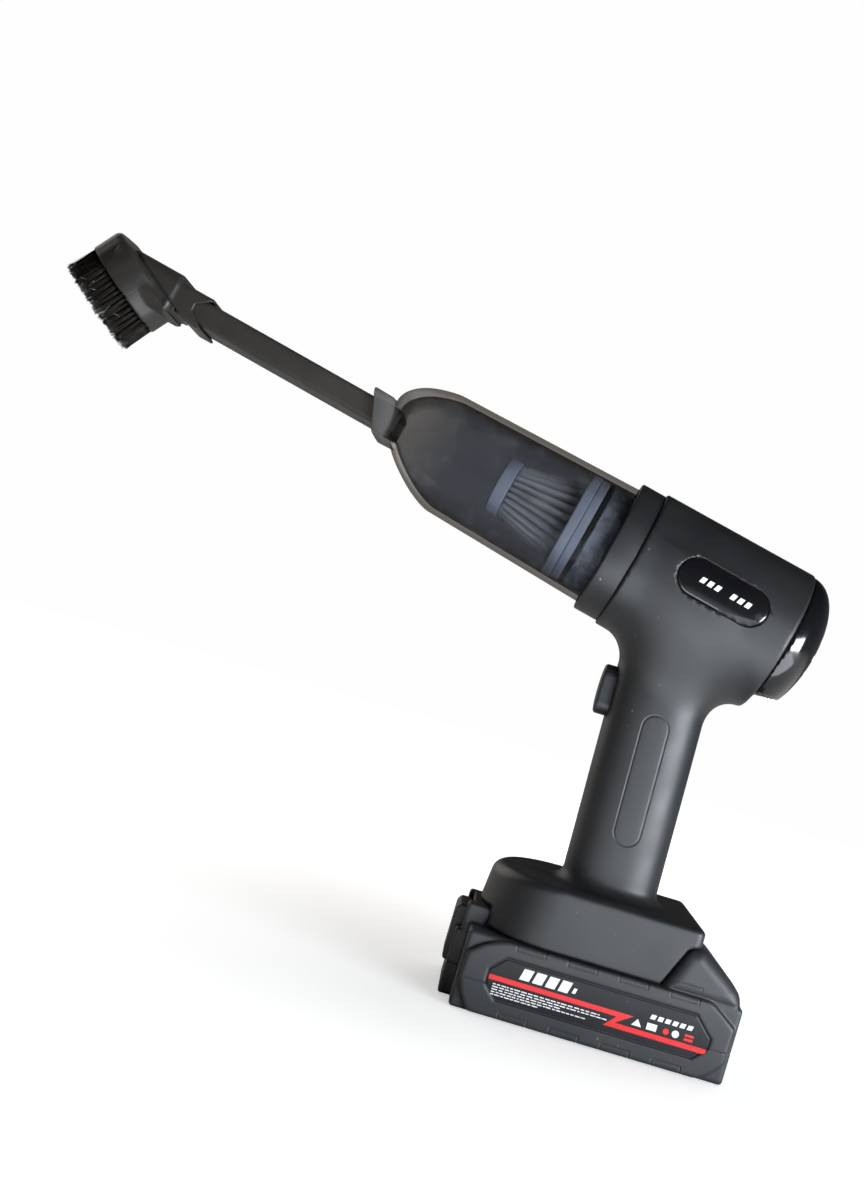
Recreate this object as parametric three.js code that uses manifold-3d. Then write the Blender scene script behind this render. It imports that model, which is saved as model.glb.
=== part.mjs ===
// Cordless handheld vacuum: a pistol body with a clear dust cup, a long flat tube,
// a dusting brush and a slide-on battery pack.
// Millimetres, +Z up. The pack stands flat on Z = 0 with the middle of its base at the origin.
// The nozzle points along -X, the rear cap along +X, and -Y is the vacuum's left side.
import * as THREE from "three";
import { mergeVertices } from "three/addons/utils/BufferGeometryUtils.js";
import Module from "manifold-3d";

const wasm = await Module();
wasm.setup();

// ---- driving dimensions -------------------------------------------------
const GAP = 0.3; // between pieces that touch
const FIT = 0.4; // between pieces that slide
const WALL = 2.6; // moulded body
const SMALL = 1e-9;
const FINE = 32; // sides on a large outer round
const ROUND = 20; // sides on any other round

// Barrel. Its own frame has x running back along the axis from the collar's front edge.
const BARREL_PITCH = THREE.MathUtils.degToRad(12.9);
const BARREL_START = [-46.7, 0, 200.5];
const COLLAR = { length: 11.3, radius: 30.3, edge: 0.8 };
const BARREL = { front: 11.6, rear: 83.2, frontRadius: 31.5, rearRadius: 32.1 };
const REAR_CAP = { front: 83.5, rear: 98, radius: 29.9 };
const STACK_RADIUS = 28.3; // everything that the barrel holds
const BADGE = { x: 49.5, rise: 3.5, length: 40.6, width: 16, inner: 31.3, outer: 32.8 };
const EXHAUST = { count: 12, reach: 12.5, length: 10, width: 2.2 };

// Fan and motor, at distances behind the collar's front edge.
const FAN = { front: 16, back: 27, radius: 24.5, blades: 9, hub: 5 };
const FAN_HOUSING = { front: 12, back: 30, inner: 26, eye: 12, wall: 2 };
const MOTOR = { front: 33, back: 72, radius: 18, wall: 1.2, shaft: 1.6, bearing: 4.5, armature: 14 };
const PLATE_HOLES = { count: 8, reach: 23.2, radius: 3.2 };

// Dust cup, tube and brush. Stations are distances ahead of the collar's front edge.
const CUP = { wall: 2.4, rim: -4.2, rimRadius: 27.4, shoulder: 80, shoulderRadius: 25.2 };
const NECK = { root: 104.7, mouth: 114.6, high: 8.4, wide: 17, lean: 0.45 };
const TUBE = { start: 103, end: 208, high: 5.5, wide: 13.5, wall: 1.6 };
const SOCKET = { start: 195, end: 212.5, high: 7.1, wide: 15.5 };
const ELBOW = { end: 241, high: 9.2, wide: 16.2, rise: 0.8 };
const FACE = { station: 235.5, rise: -7, tilt: THREE.MathUtils.degToRad(27) };
const HEAD = { halfLength: 21.2, halfWidth: 17.5, thick: 13, throatInset: 9 };
const BRISTLE = { inset: 1.6, width: 5.6, sunk: 1.8, length: 14 };

// Filter stack, as distances ahead of the collar's front edge.
const FILTER = { capFront: 54.6, capRear: 48.6, capRadius: 12.9, pleatRear: 20.4, pleatRadius: 18.8 };
const PLEATS = 24;
const PLEAT_DEPTH = 3;
const RING_RADIUS = 23.8;
const RING_BORE = 16;
const SPIGOT = { radius: 23.6, bore: 17.6, lugs: 3, lugReach: 24, lugHalfWidth: 3 };
const SEAL_BORE = 24.8; // clear of the corners of the spigot's lugs

// Handle.
const HANDLE = { front: -25.4, rear: 15.9, rake: 0.026, halfWidth: 18, square: 2.7 };
const HANDLE_TOP = 159.2; // where the barrel's underside crosses the handle's middle
const HANDLE_MIDDLE = -8;
const FILLET = { front: 9, rear: 16, side: 22, foot: 6 };
const SIDE_FILLET_REACH = 17.8; // how far above HANDLE_TOP the side fillet meets the barrel
const GRIP = { x: -6.2, z: 108.6, length: 56, width: 11.3, thick: 1.2 };
const BUTTON = { z: 141, x: -33.2, height: 21.8, width: 11 };
const SCREWS = [[-14, 154, 18.4], [8, 148, 18.4], [6, 70, 17], [16, 53, 35.5]]; // x, z, head's depth
const BOSS_RADIUS = 3.6;

// Foot over the pack.
const FOOT = { bottom: 33, top: 58.5, middle: -24.9, front: 32, rear: 59.8, halfWidth: 36.8, draft: 0.1 };
const NOTCH = [[22.3, 20], [22.3, 33.3], [29.7, 50], [34.9, 51.7], [60, 51.7], [60, 20]];
const RAIL = { top: 36.4, slot: 20.8 };

// Battery pack.
const PACK = { halfLength: 57.6, top: 32.2, coreHalfWidth: 35, halfWidth: 37.5, wall: 2.4, parting: 13.6 };
const PACK_FRONT = { x: -62.9, halfWidth: 18.5, cheekTop: 28.4, kneeX: -60.7, kneeTop: 39.9 };
const HUMP = [[22.8, 30], [30.2, 49.3], [36.4, 51.2], [54.2, 39.4], [57.2, 35.1], [57.6, 30]];
const TONGUE = { front: -40, rear: 27, neckHalfWidth: 20.2, halfWidth: 24.4, shelf: 36.9, top: 48.4 };
const LATCH = { front: -65.1, back: -58.8, halfWidth: 11.8, bottom: 12.6, top: 37 };
const SPRING = { x: -61, bottom: 8.5, top: 23.7, radius: 1.4 };
// The side panel's outline: a long octagon with a soft lower edge.
const PANEL = [[-50, 0.5], [47, 0.5], [52, 3.6], [56.4, 9], [56.8, 24], [50, 29], [45, 32]];
const PANEL_FRONT = [[-42, 32], [-50, 29], [-56, 24], [-56.6, 13.6], [-54.5, 7]];
const PACK_SCREWS = [[-52, -27], [52, -27], [-52, 27], [52, 27]];
const BLADE_Y = 10; // each terminal blade's distance from the middle
const LABEL = { left: -45.2, right: 47.8, bottom: 8.3, top: 25.1, thick: 0.5, chamfer: 5.5 };
const CELL = { count: 5, radius: 9.2, length: 65, pitch: 19.6, z: 13.2 };

// ---- materials ----------------------------------------------------------
const makeMaterial = (color, roughness, metalness = 0, opacity = 1) =>
  new THREE.MeshStandardMaterial({ color, roughness, metalness, opacity, transparent: opacity < 1 });

const matteBlack = makeMaterial(0x1d1e20, 0.6);
const glossBlack = makeMaterial(0x0c0c0e, 0.15);
const satinBrown = makeMaterial(0x2a2725, 0.5);
const smokedClear = makeMaterial(0x4a4b50, 0.1, 0, 0.45);
const filterGrey = makeMaterial(0x7c8694, 0.5);
const paperGrey = makeMaterial(0x6a6c70, 0.9);
const rubberBlack = makeMaterial(0x111112, 0.9);
const packGrey = makeMaterial(0x33363a, 0.6);
const labelBlack = makeMaterial(0x15171b, 0.4);
const bristleBlack = makeMaterial(0x14120f, 0.8);
const steel = makeMaterial(0x9a9ca0, 0.35, 1);
const brass = makeMaterial(0xb99a4a, 0.35, 1);
const copper = makeMaterial(0x9c5a34, 0.45, 1);
const boardGreen = makeMaterial(0x1d5a3a, 0.6);
const cellBlue = makeMaterial(0x2f6fa8, 0.45);
const wireRed = makeMaterial(0xa01818, 0.5);

// ---- solids -------------------------------------------------------------
const signedPower = (value, power) => Math.sign(value) * Math.abs(value) ** power;
const clean = (value) => (Math.abs(value) < SMALL ? 0 : value);

function signedVolume(position, index) {
  const a = new THREE.Vector3();
  const b = new THREE.Vector3();
  const c = new THREE.Vector3();
  let six = 0;
  for (let i = 0; i < index.length; i += 3) {
    a.fromBufferAttribute(position, index[i]);
    b.fromBufferAttribute(position, index[i + 1]);
    c.fromBufferAttribute(position, index[i + 2]);
    six += a.dot(b.cross(c));
  }
  return six / 6;
}

// Joins the doubled vertices, drops the empty triangles and turns the faces out.
function weld(geometry) {
  geometry.deleteAttribute("normal");
  geometry.deleteAttribute("uv");
  const welded = mergeVertices(geometry, 1e-4);
  const old = welded.index.array;
  const index = [];
  for (let i = 0; i < old.length; i += 3) {
    const [a, b, c] = [old[i], old[i + 1], old[i + 2]];
    if (a !== b && b !== c && c !== a) index.push(a, b, c);
  }
  if (signedVolume(welded.attributes.position, index) < 0) index.reverse();
  welded.setIndex(index);
  return welded;
}

function toSolid(geometry) {
  const welded = weld(geometry);
  const mesh = new wasm.Mesh({
    numProp: 3,
    vertProperties: new Float32Array(welded.attributes.position.array),
    triVerts: new Uint32Array(welded.index.array),
  });
  return new wasm.Manifold(mesh);
}

function toGeometry(solid) {
  const mesh = solid.getMesh();
  const geometry = new THREE.BufferGeometry();
  geometry.setAttribute("position", new THREE.BufferAttribute(mesh.vertProperties, 3));
  geometry.setIndex(new THREE.BufferAttribute(mesh.triVerts, 1));
  return geometry;
}

const joined = (geometries) => geometries.map(toSolid).reduce((sum, solid) => sum.add(solid));

function without(solid, geometries) {
  return geometries.map(toSolid).reduce((rest, tool) => rest.subtract(tool), solid);
}

// A box from its low corner to its high corner.
function box(low, high) {
  const size = high.map((value, axis) => value - low[axis]);
  const geometry = new THREE.BoxGeometry(...size);
  return geometry.translate(...low.map((value, axis) => value + size[axis] / 2));
}

// A turned piece along x. The profile lists [x, radius] and closes on the axis or on itself.
function turned(profile, around = ROUND) {
  const points = profile.map(([x, radius]) => new THREE.Vector2(radius, x));
  return new THREE.LatheGeometry(points, around).rotateZ(-Math.PI / 2);
}

function ringBetween(x0, x1, outer, inner, around = ROUND) {
  return turned([[x0, inner], [x0, outer], [x1, outer], [x1, inner], [x0, inner]], around);
}

function discBetween(x0, x1, radius, around = ROUND) {
  return turned([[x0, 0], [x0, radius], [x1, radius], [x1, 0]], around);
}

// A round rod along Y or Z.
function rodAlongY(x, z, y0, y1, radius, around = 20) {
  return new THREE.CylinderGeometry(radius, radius, y1 - y0, around).translate(x, (y0 + y1) / 2, z);
}

function rodAlongZ(x, y, z0, z1, radius, around = 20) {
  const rod = new THREE.CylinderGeometry(radius, radius, z1 - z0, around).rotateX(Math.PI / 2);
  return rod.translate(x, y, (z0 + z1) / 2);
}

// A side outline of [x, z] points, carried across from y0 to y1, with its edges bevelled if asked.
function sidePrism(outline, y0, y1, bevel = 0) {
  const shape = new THREE.Shape(outline.map(([x, z]) => new THREE.Vector2(x, z)));
  const options = { depth: y1 - y0 - 2 * bevel, bevelEnabled: bevel > 0, bevelSegments: 2 };
  Object.assign(options, { bevelSize: bevel, bevelThickness: bevel, bevelOffset: -bevel });
  return new THREE.ExtrudeGeometry(shape, options).rotateX(Math.PI / 2).translate(0, y1 - bevel, 0);
}

// A long shape with round ends, lying along x, from -length/2 to length/2.
function obround(length, width, arcSteps = 6) {
  const radius = width / 2;
  const reach = length / 2 - radius;
  const points = [];
  for (const end of [1, -1]) {
    for (let k = 0; k <= arcSteps; k += 1) {
      const angle = (k / arcSteps - 0.5) * Math.PI;
      const [x, y] = [reach + radius * Math.cos(angle), radius * Math.sin(angle)];
      points.push(new THREE.Vector2(end * x, end * y));
    }
  }
  return new THREE.Shape(points);
}

// A closed skin over rings of points: pointAt(ring, cosine, sine) places each one.
function loft(ringCount, around, pointAt) {
  const geometry = new THREE.CylinderGeometry(1, 1, 1, around, ringCount - 1);
  const position = geometry.attributes.position;
  const step = (2 * Math.PI) / around;
  for (let i = 0; i < position.count; i += 1) {
    const ring = Math.round((position.getY(i) + 0.5) * (ringCount - 1));
    const x = position.getX(i);
    const z = position.getZ(i);
    const turn = Math.round(Math.atan2(z, x) / step) * step;
    const rim = pointAt(ring, clean(Math.cos(turn)), clean(Math.sin(turn)));
    const opposite = pointAt(ring, clean(-Math.cos(turn)), clean(-Math.sin(turn)));
    const point = Math.hypot(x, z) < 0.5 ? rim.map((value, axis) => (value + opposite[axis]) / 2) : rim;
    position.setXYZ(i, ...point);
  }
  return geometry;
}

// A duct along the barrel's axis. Each ring has its station ahead of the collar, half height,
// half width, squareness (2 is an ellipse), rise of its middle, and lean of its plane.
function duct(rings, around = FINE) {
  return loft(rings.length, around, (ring, cosine, sine) => {
    const { station, high, wide, square = 2, rise = 0, lean = 0 } = rings[ring];
    const z = rise + high * signedPower(sine, 2 / square);
    return [-(station + lean * z), wide * signedPower(cosine, 2 / square), z];
  });
}

function addMesh(group, name, geometry, material) {
  const isSolid = geometry instanceof THREE.BufferGeometry === false;
  const mesh = new THREE.Mesh(isSolid ? toGeometry(geometry) : weld(geometry), material);
  mesh.name = name;
  group.add(mesh);
  return mesh;
}

const vacuum = new THREE.Group();
const barrel = new THREE.Group();
barrel.position.set(...BARREL_START);
barrel.rotation.y = BARREL_PITCH;
barrel.updateMatrix();
vacuum.add(barrel);
const toBody = (geometry) => geometry.applyMatrix4(barrel.matrix);

// ---- dust cup -----------------------------------------------------------
// The shoulder runs from the round cup into the flat neck along a soft quarter curve.
function shoulderRings(start, end, round, high, wide, count = 5) {
  return Array.from({ length: count }, (_, k) => {
    const angle = (k / (count - 1)) * (Math.PI / 2);
    const forward = signedPower(clean(Math.sin(angle)), 1.18);
    const inward = signedPower(clean(Math.cos(angle)), 1.18);
    return {
      station: start + (end - start) * forward,
      high: high + (round - high) * inward,
      wide: wide + (round - wide) * inward,
      square: 2 + 6 * forward ** 2,
      lean: 0.2 + 0.12 * forward,
    };
  });
}

function dustCup() {
  const rim = { station: CUP.rim, high: CUP.rimRadius, wide: CUP.rimRadius };
  const mouth = { station: NECK.mouth, high: NECK.high, wide: NECK.wide, square: 8, lean: NECK.lean };
  const shoulder = shoulderRings(CUP.shoulder, NECK.root, CUP.shoulderRadius, NECK.high, NECK.wide);
  const skin = [rim, ...shoulder, mouth];
  const boreHigh = TUBE.high + FIT;
  const boreWide = TUBE.wide + FIT;
  const inside = CUP.rimRadius - CUP.wall;
  const hollow = [
    { station: CUP.rim - 1, high: inside, wide: inside },
    ...shoulderRings(CUP.shoulder - 2, NECK.root - 2, CUP.shoulderRadius - CUP.wall, boreHigh, boreWide),
    { station: NECK.mouth + 9, high: boreHigh, wide: boreWide, square: 8 },
  ];
  const sealSeat = ringBetween(0.5, 5.5, inside + 0.9, inside - 3);
  return without(toSolid(duct(skin)), [duct(hollow), sealSeat]);
}

function cupSeal() {
  return ringBetween(0.8, 3.8, CUP.rimRadius - CUP.wall + 0.5, SEAL_BORE, FINE);
}

addMesh(barrel, "dust_cup", dustCup(), smokedClear);
addMesh(barrel, "cup_seal", cupSeal(), rubberBlack);

// ---- tube and brush -----------------------------------------------------
function flatDuct(start, end, high, wide, square = 8, rise = 0) {
  const ring = { high, wide, square, rise };
  return duct([{ station: start, ...ring }, { station: end, ...ring }], 24);
}

function extensionTube() {
  const bore = flatDuct(TUBE.start - 1, TUBE.end + 1, TUBE.high - TUBE.wall, TUBE.wide - TUBE.wall);
  return without(toSolid(flatDuct(TUBE.start, TUBE.end, TUBE.high, TUBE.wide)), [bore]);
}

// The brush face is a long octagon. It is drawn flat, then turned to lie across the bristles.
function faceOutline(inset) {
  const end = HEAD.halfLength - inset;
  const side = HEAD.halfWidth - inset;
  const flatEnd = 6.5 - inset * 0.4;
  const flatSide = 8.5 - inset * 0.4;
  const corners = [[end, flatEnd], [flatSide, side], [-flatSide, side], [-end, flatEnd]];
  const far = corners.map(([x, y]) => [-x, -y]);
  return new THREE.Shape([...corners, ...far].map(([x, y]) => new THREE.Vector2(x, y)));
}

// Depth runs into the head from its face; below zero it runs out along the bristles.
function facePrism(shape, low, high, bevel = 0) {
  const options = { depth: high - low - bevel, bevelEnabled: bevel > 0, bevelSegments: 2, steps: 1 };
  Object.assign(options, { bevelSize: bevel, bevelThickness: bevel, bevelOffset: -bevel });
  const prism = new THREE.ExtrudeGeometry(shape, options).translate(0, 0, low);
  return prism.rotateY(FACE.tilt).translate(-FACE.station, 0, FACE.rise);
}

function bristleShape(margin) {
  const shape = faceOutline(BRISTLE.inset - margin);
  shape.holes.push(faceOutline(BRISTLE.inset + BRISTLE.width + margin));
  return shape;
}

function brushHead() {
  const socket = flatDuct(SOCKET.start, SOCKET.end, SOCKET.high, SOCKET.wide);
  const elbow = flatDuct(SOCKET.end - 1, ELBOW.end, ELBOW.high, ELBOW.wide, 6, ELBOW.rise);
  const head = facePrism(faceOutline(0), 0, HEAD.thick);
  const beyondFace = facePrism(faceOutline(-20), -30, 0);
  const tubeSeat = flatDuct(SOCKET.start - 1, TUBE.end + GAP, TUBE.high + FIT, TUBE.wide + FIT);
  const airway = flatDuct(TUBE.end, 236, TUBE.high - 0.8, TUBE.wide - 1.4);
  const throat = facePrism(faceOutline(HEAD.throatInset), -1, 9);
  const groove = facePrism(bristleShape(GAP), -1, BRISTLE.sunk + GAP);
  const body = without(joined([socket, elbow]), [beyondFace]).add(toSolid(head));
  return without(body, [tubeSeat, airway, throat, groove]);
}

addMesh(barrel, "extension_tube", extensionTube(), satinBrown);
addMesh(barrel, "brush_head", brushHead(), satinBrown);
addMesh(barrel, "bristle_ring", facePrism(bristleShape(0), -BRISTLE.length, BRISTLE.sunk), bristleBlack);

// ---- filter -------------------------------------------------------------
function pleatOutline(radius) {
  return Array.from({ length: 2 * PLEATS }, (_, k) => {
    const reach = k % 2 === 0 ? radius : radius - PLEAT_DEPTH;
    const angle = (k * Math.PI) / PLEATS;
    return new THREE.Vector2(reach * Math.cos(angle), reach * Math.sin(angle));
  });
}

function filterPleats() {
  const length = FILTER.capRear - GAP - FILTER.pleatRear;
  const shape = new THREE.Shape(pleatOutline(FILTER.pleatRadius));
  shape.holes.push(new THREE.Path(pleatOutline(FILTER.pleatRadius - 1)));
  const pleats = new THREE.ExtrudeGeometry(shape, { depth: length, bevelEnabled: false });
  const position = pleats.attributes.position;
  const narrow = (FILTER.capRadius - 1) / FILTER.pleatRadius;
  for (let i = 0; i < position.count; i += 1) {
    const scale = 1 + (narrow - 1) * (position.getZ(i) / length);
    position.setXY(i, position.getX(i) * scale, position.getY(i) * scale);
  }
  return pleats.rotateY(-Math.PI / 2).translate(-FILTER.pleatRear, 0, 0);
}

function filterEndCap() {
  const { capFront, capRear, capRadius } = FILTER;
  const profile = [[-capFront, 0], [-capFront, capRadius - 1], [-capFront + 1, capRadius]];
  return turned([...profile, [-capRear, capRadius], [-capRear, 0]], 36);
}

addMesh(barrel, "filter_end_cap", filterEndCap(), filterGrey);
addMesh(barrel, "filter_pleats", filterPleats(), paperGrey);
addMesh(barrel, "filter_flange", ringBetween(-20.1, -15.8, RING_RADIUS, RING_BORE), filterGrey);
addMesh(barrel, "filter_ring", ringBetween(-15.5, -11.7, RING_RADIUS - 0.3, RING_BORE), filterGrey);
addMesh(barrel, "filter_gasket", ringBetween(-11.4, -9.9, RING_RADIUS, RING_BORE), rubberBlack);

// ---- barrel furniture ---------------------------------------------------
function frontCollar() {
  const { length, radius, edge } = COLLAR;
  const seat = CUP.rimRadius + FIT;
  const bore = RING_RADIUS + 0.4;
  const outside = [[0, seat], [0, radius - edge], [edge, radius], [length - edge, radius]];
  const inside = [[length, radius - edge], [length, bore], [4.6, bore], [4.6, seat], [0, seat]];
  return turned([...outside, ...inside], FINE);
}

// The spigot carries the filter and has the three lugs that the cup turns onto.
function cupSpigot() {
  const { radius, bore, lugs: count, lugReach, lugHalfWidth } = SPIGOT;
  const sleeve = ringBetween(-9.6, 9, radius, bore);
  const lugs = Array.from({ length: count }, (_, k) => {
    const lug = box([-7, -lugHalfWidth, radius - 2], [-3, lugHalfWidth, lugReach]);
    return lug.rotateX((k * 2 * Math.PI) / count);
  });
  return joined([sleeve, ...lugs]);
}

function rearCap() {
  const { front, rear, radius } = REAR_CAP;
  const dome = [[front, radius], [front + 4, radius]];
  const steps = 4;
  for (let k = 1; k <= steps; k += 1) {
    const angle = (k / steps) * (Math.PI / 2) * 0.8;
    const reach = radius - 5 + 5 * Math.cos(angle);
    dome.push([front + 4 + 8.2 * Math.sin(angle), reach]);
  }
  dome.push([rear - 1.2, 19], [rear - 0.4, 12], [rear, 0]);
  const inside = [[rear - WALL, 0], [rear - WALL - 1.4, 17], [rear - WALL - 4.6, 24]];
  const skirt = [[front + 4, 27], [front, 27], [front, radius]];
  return without(toSolid(turned([...dome, ...inside, ...skirt], FINE)), exhaustSlots());
}

function exhaustSlots() {
  const { count, reach, length, width } = EXHAUST;
  return Array.from({ length: count }, (_, k) => {
    const slot = new THREE.ExtrudeGeometry(obround(length, width, 1), { depth: 12, bevelEnabled: false });
    slot.translate(reach, 0, 0).rotateZ((k * 2 * Math.PI) / count).rotateY(Math.PI / 2);
    return slot.translate(REAR_CAP.rear - 8, 0, 0);
  });
}

// The badge follows the barrel's side: an obround cut out of a thin curved skin.
function badgePlug(margin) {
  const outline = obround(BADGE.length + 2 * margin, BADGE.width + 2 * margin);
  const plug = new THREE.ExtrudeGeometry(outline, { depth: 20, bevelEnabled: false });
  return plug.rotateX(Math.PI / 2).translate(BADGE.x, -20, BADGE.rise);
}

function badge() {
  const skin = ringBetween(20, 80, BADGE.outer, BADGE.inner, FINE);
  return toSolid(badgePlug(0)).intersect(toSolid(skin));
}

addMesh(barrel, "front_collar", frontCollar(), matteBlack);
addMesh(barrel, "cup_spigot", cupSpigot(), matteBlack);
addMesh(barrel, "rear_cap", rearCap(), glossBlack);
addMesh(barrel, "badge", badge(), glossBlack);

// ---- fan and motor ------------------------------------------------------
function roundPlate(x0, x1, radius, holes) {
  const shape = new THREE.Shape();
  shape.absarc(0, 0, radius, 0, 2 * Math.PI);
  const outline = new THREE.Shape(shape.getSpacedPoints(ROUND).slice(0, -1));
  outline.holes.push(...holes);
  const plate = new THREE.ExtrudeGeometry(outline, { depth: x1 - x0, bevelEnabled: false });
  return plate.rotateY(Math.PI / 2).translate(x0, 0, 0);
}

function roundHole(radius, x = 0, y = 0, segments = 24) {
  const path = new THREE.Path();
  path.absarc(x, y, radius, 0, 2 * Math.PI);
  return new THREE.Path(path.getSpacedPoints(segments).slice(0, -1));
}

function ringOfHoles(count, reach, radius) {
  return Array.from({ length: count }, (_, k) => {
    const angle = (k * 2 * Math.PI) / count;
    return roundHole(radius, reach * Math.cos(angle), reach * Math.sin(angle), 5);
  });
}

// A blade is a slice of a curved strip, swept backwards from the hub.
function fanBlade(turn) {
  const [first, last] = [Math.PI * 0.62, Math.PI * 0.08];
  const curve = new THREE.Shape();
  curve.absarc(4, -13, 17.5, first, last, true);
  curve.absarc(4, -13, 16.3, last, first, false);
  const section = new THREE.Shape(curve.getSpacedPoints(8).slice(0, -1));
  const blade = new THREE.ExtrudeGeometry(section, { depth: FAN.back - 1 - FAN.front, bevelEnabled: false });
  return blade.rotateZ(turn).rotateY(Math.PI / 2).translate(FAN.front, 0, 0);
}

function impeller() {
  const bore = MOTOR.shaft + GAP;
  const plate = ringBetween(FAN.back - 2, FAN.back, FAN.radius, bore);
  const hub = ringBetween(FAN.front, FAN.back - 1, FAN.hub, bore, 24);
  const blades = Array.from({ length: FAN.blades }, (_, k) => fanBlade((k * 2 * Math.PI) / FAN.blades));
  const wheel = joined([plate, hub, ...blades]);
  return without(wheel, [discBetween(FAN.front - 1, FAN.back + 1, bore, 24)]);
}

function fanHousing() {
  const { front, back, inner, eye, wall } = FAN_HOUSING;
  const cup = [[front, eye], [front, STACK_RADIUS], [back, STACK_RADIUS], [back, inner]];
  return turned([...cup, [front + wall, inner], [front + wall, eye], [front, eye]]);
}

function motorCan() {
  const { front, back, radius, wall } = MOTOR;
  const bore = MOTOR.bearing + GAP;
  const outside = [[front, bore], [front, radius], [back, radius], [back, radius - wall]];
  return turned([...outside, [front + wall, radius - wall], [front + wall, bore], [front, bore]]);
}

const bearingBetween = (x0, x1) => ringBetween(x0, x1, MOTOR.bearing, MOTOR.shaft + GAP, 24);

function intakeGrille() {
  return roundPlate(-2, 0, SPIGOT.bore - GAP, [...ringOfHoles(6, 6, 2), ...ringOfHoles(12, 12.6, 2.3)]);
}

// A plate that centres the motor in the barrel and lets the air past it.
function motorPlate(x0, x1) {
  const { count, reach, radius } = PLATE_HOLES;
  const motorHole = roundHole(MOTOR.radius + GAP, 0, 0, ROUND);
  return roundPlate(x0, x1, STACK_RADIUS, [motorHole, ...ringOfHoles(count, reach, radius)]);
}

addMesh(barrel, "intake_grille", intakeGrille(), matteBlack);
addMesh(barrel, "impeller", impeller(), packGrey);
addMesh(barrel, "fan_housing", fanHousing(), packGrey);
addMesh(barrel, "motor_shaft", discBetween(14, 79, MOTOR.shaft, 16), steel);
addMesh(barrel, "armature", ringBetween(40, 66, MOTOR.armature, MOTOR.shaft + GAP, 24), copper);
addMesh(barrel, "motor_can", motorCan(), steel);
addMesh(barrel, "front_bearing", bearingBetween(31.2, 34.4), brass);
addMesh(barrel, "rear_bearing", bearingBetween(71, 74.4), brass);
addMesh(barrel, "motor_endbell", ringBetween(72.3, 75, MOTOR.radius, MOTOR.bearing + GAP), packGrey);
addMesh(barrel, "motor_mount", motorPlate(36, 40), packGrey);
addMesh(barrel, "rear_damper", motorPlate(64, 69), rubberBlack);

// ---- body shells --------------------------------------------------------
// How far a fillet of this radius has spread where its face is still `drop` away.
function filletSpread(drop, radius) {
  const run = Math.min(Math.max(radius - drop, 0), radius);
  return radius - Math.sqrt(radius ** 2 - run ** 2);
}

// The handle's section at a height, `inset` inside its outer face. Near the barrel its rings
// turn to lie along the barrel's axis.
function handlePoint(height, inset, cosine, sine) {
  const above = HANDLE_TOP - height;
  const lean = THREE.MathUtils.smoothstep(height, 118, 150);
  const rake = HANDLE.rake * (height - 60);
  const footSpread = filletSpread(height - FOOT.top, FILLET.foot);
  const front = HANDLE.front - rake - filletSpread(above, FILLET.front) - footSpread + inset;
  const rear = HANDLE.rear - rake + filletSpread(above, FILLET.rear) + footSpread - inset;
  const side = HANDLE.halfWidth + filletSpread(above + SIDE_FILLET_REACH, FILLET.side) + footSpread - inset;
  const wide = Math.min(side, 24 - inset);
  const x = (front + rear) / 2 + ((rear - front) / 2) * signedPower(cosine, 2 / HANDLE.square);
  const y = wide * signedPower(sine, 2 / HANDLE.square);
  return [x, y, height - lean * Math.tan(BARREL_PITCH) * (x - HANDLE_MIDDLE)];
}

function handle(inset, low, high) {
  const heights = [low];
  const stops = [59, 60.5, 63, 66, 118, 130, 140, 145, 149, 153, 156, 158.5, 162];
  stops.filter((stop) => stop > low + 0.5 && stop < high - 0.5).forEach((stop) => heights.push(stop));
  heights.push(high);
  return loft(heights.length, 24, (ring, cosine, sine) => handlePoint(heights[ring], inset, cosine, sine));
}

// The foot is round in front and square behind, with a soft top edge.
function foot(inset, low, high, edge) {
  const levels = [low, high - edge];
  for (let k = 1; k <= 2; k += 1) levels.push(high - edge + edge * Math.sin((k * Math.PI) / 4));
  return loft(levels.length, 36, (ring, cosine, sine) => {
    const level = levels[ring];
    const over = Math.max(level - (high - edge), 0);
    const rounding = edge - Math.sqrt(Math.max(edge ** 2 - over ** 2, 0));
    const inward = inset + rounding;
    const behind = cosine > 0;
    const power = behind ? 2 / 10 : 1;
    const draft = behind ? 0 : FOOT.draft * (level - FOOT.bottom);
    const reach = (behind ? FOOT.rear : FOOT.front) - inward - draft;
    const y = (FOOT.halfWidth - inward) * signedPower(sine, power);
    return [FOOT.middle + reach * signedPower(cosine, power), y, level];
  });
}

function barrelSkin() {
  const { front, rear, frontRadius, rearRadius } = BARREL;
  const rim = [[front + 0.7, frontRadius - 0.3], [front + 2.4, frontRadius]];
  const nose = [[front, 0], [front, frontRadius - 1.1], ...rim];
  const tail = [[rear - 8, rearRadius], [rear - 3.4, rearRadius - 0.5], [rear - 1, rearRadius - 1.4]];
  return turned([...nose, ...tail, [rear, rearRadius - 2], [rear, 0]], FINE);
}

// The space that the fan and motor fill, which the screw bosses keep out of.
const barrelBore = () => toBody(discBetween(0, 120, STACK_RADIUS + GAP));

function shellOutside() {
  return joined([toBody(barrelSkin()), handle(0, 45, 168), foot(0, FOOT.bottom, FOOT.top, 2.6)]);
}

function shellCuts() {
  const ends = [discBetween(0, BARREL.front, 40), discBetween(BARREL.rear, 110, 40)].map(toBody);
  const slot = box([-80, -RAIL.slot, 20], [80, RAIL.slot, RAIL.top + 1]);
  const nosePass = box([-80, -PACK_FRONT.halfWidth - 1, 20], [-40, PACK_FRONT.halfWidth + 1, 40.6]);
  const notch = sidePrism(NOTCH, -50, 50);
  const hollows = [barrelBore(), handle(WALL + 0.2, 50, 168), foot(WALL, RAIL.top, FOOT.top - WALL - 0.4, 1)];
  const grips = [-1, 1].map((hand) => gripPlug(hand, GAP, GRIP.thick + GAP, 6));
  return [...hollows, ...ends, slot, nosePass, notch, ...grips, buttonPlug()];
}

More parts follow.
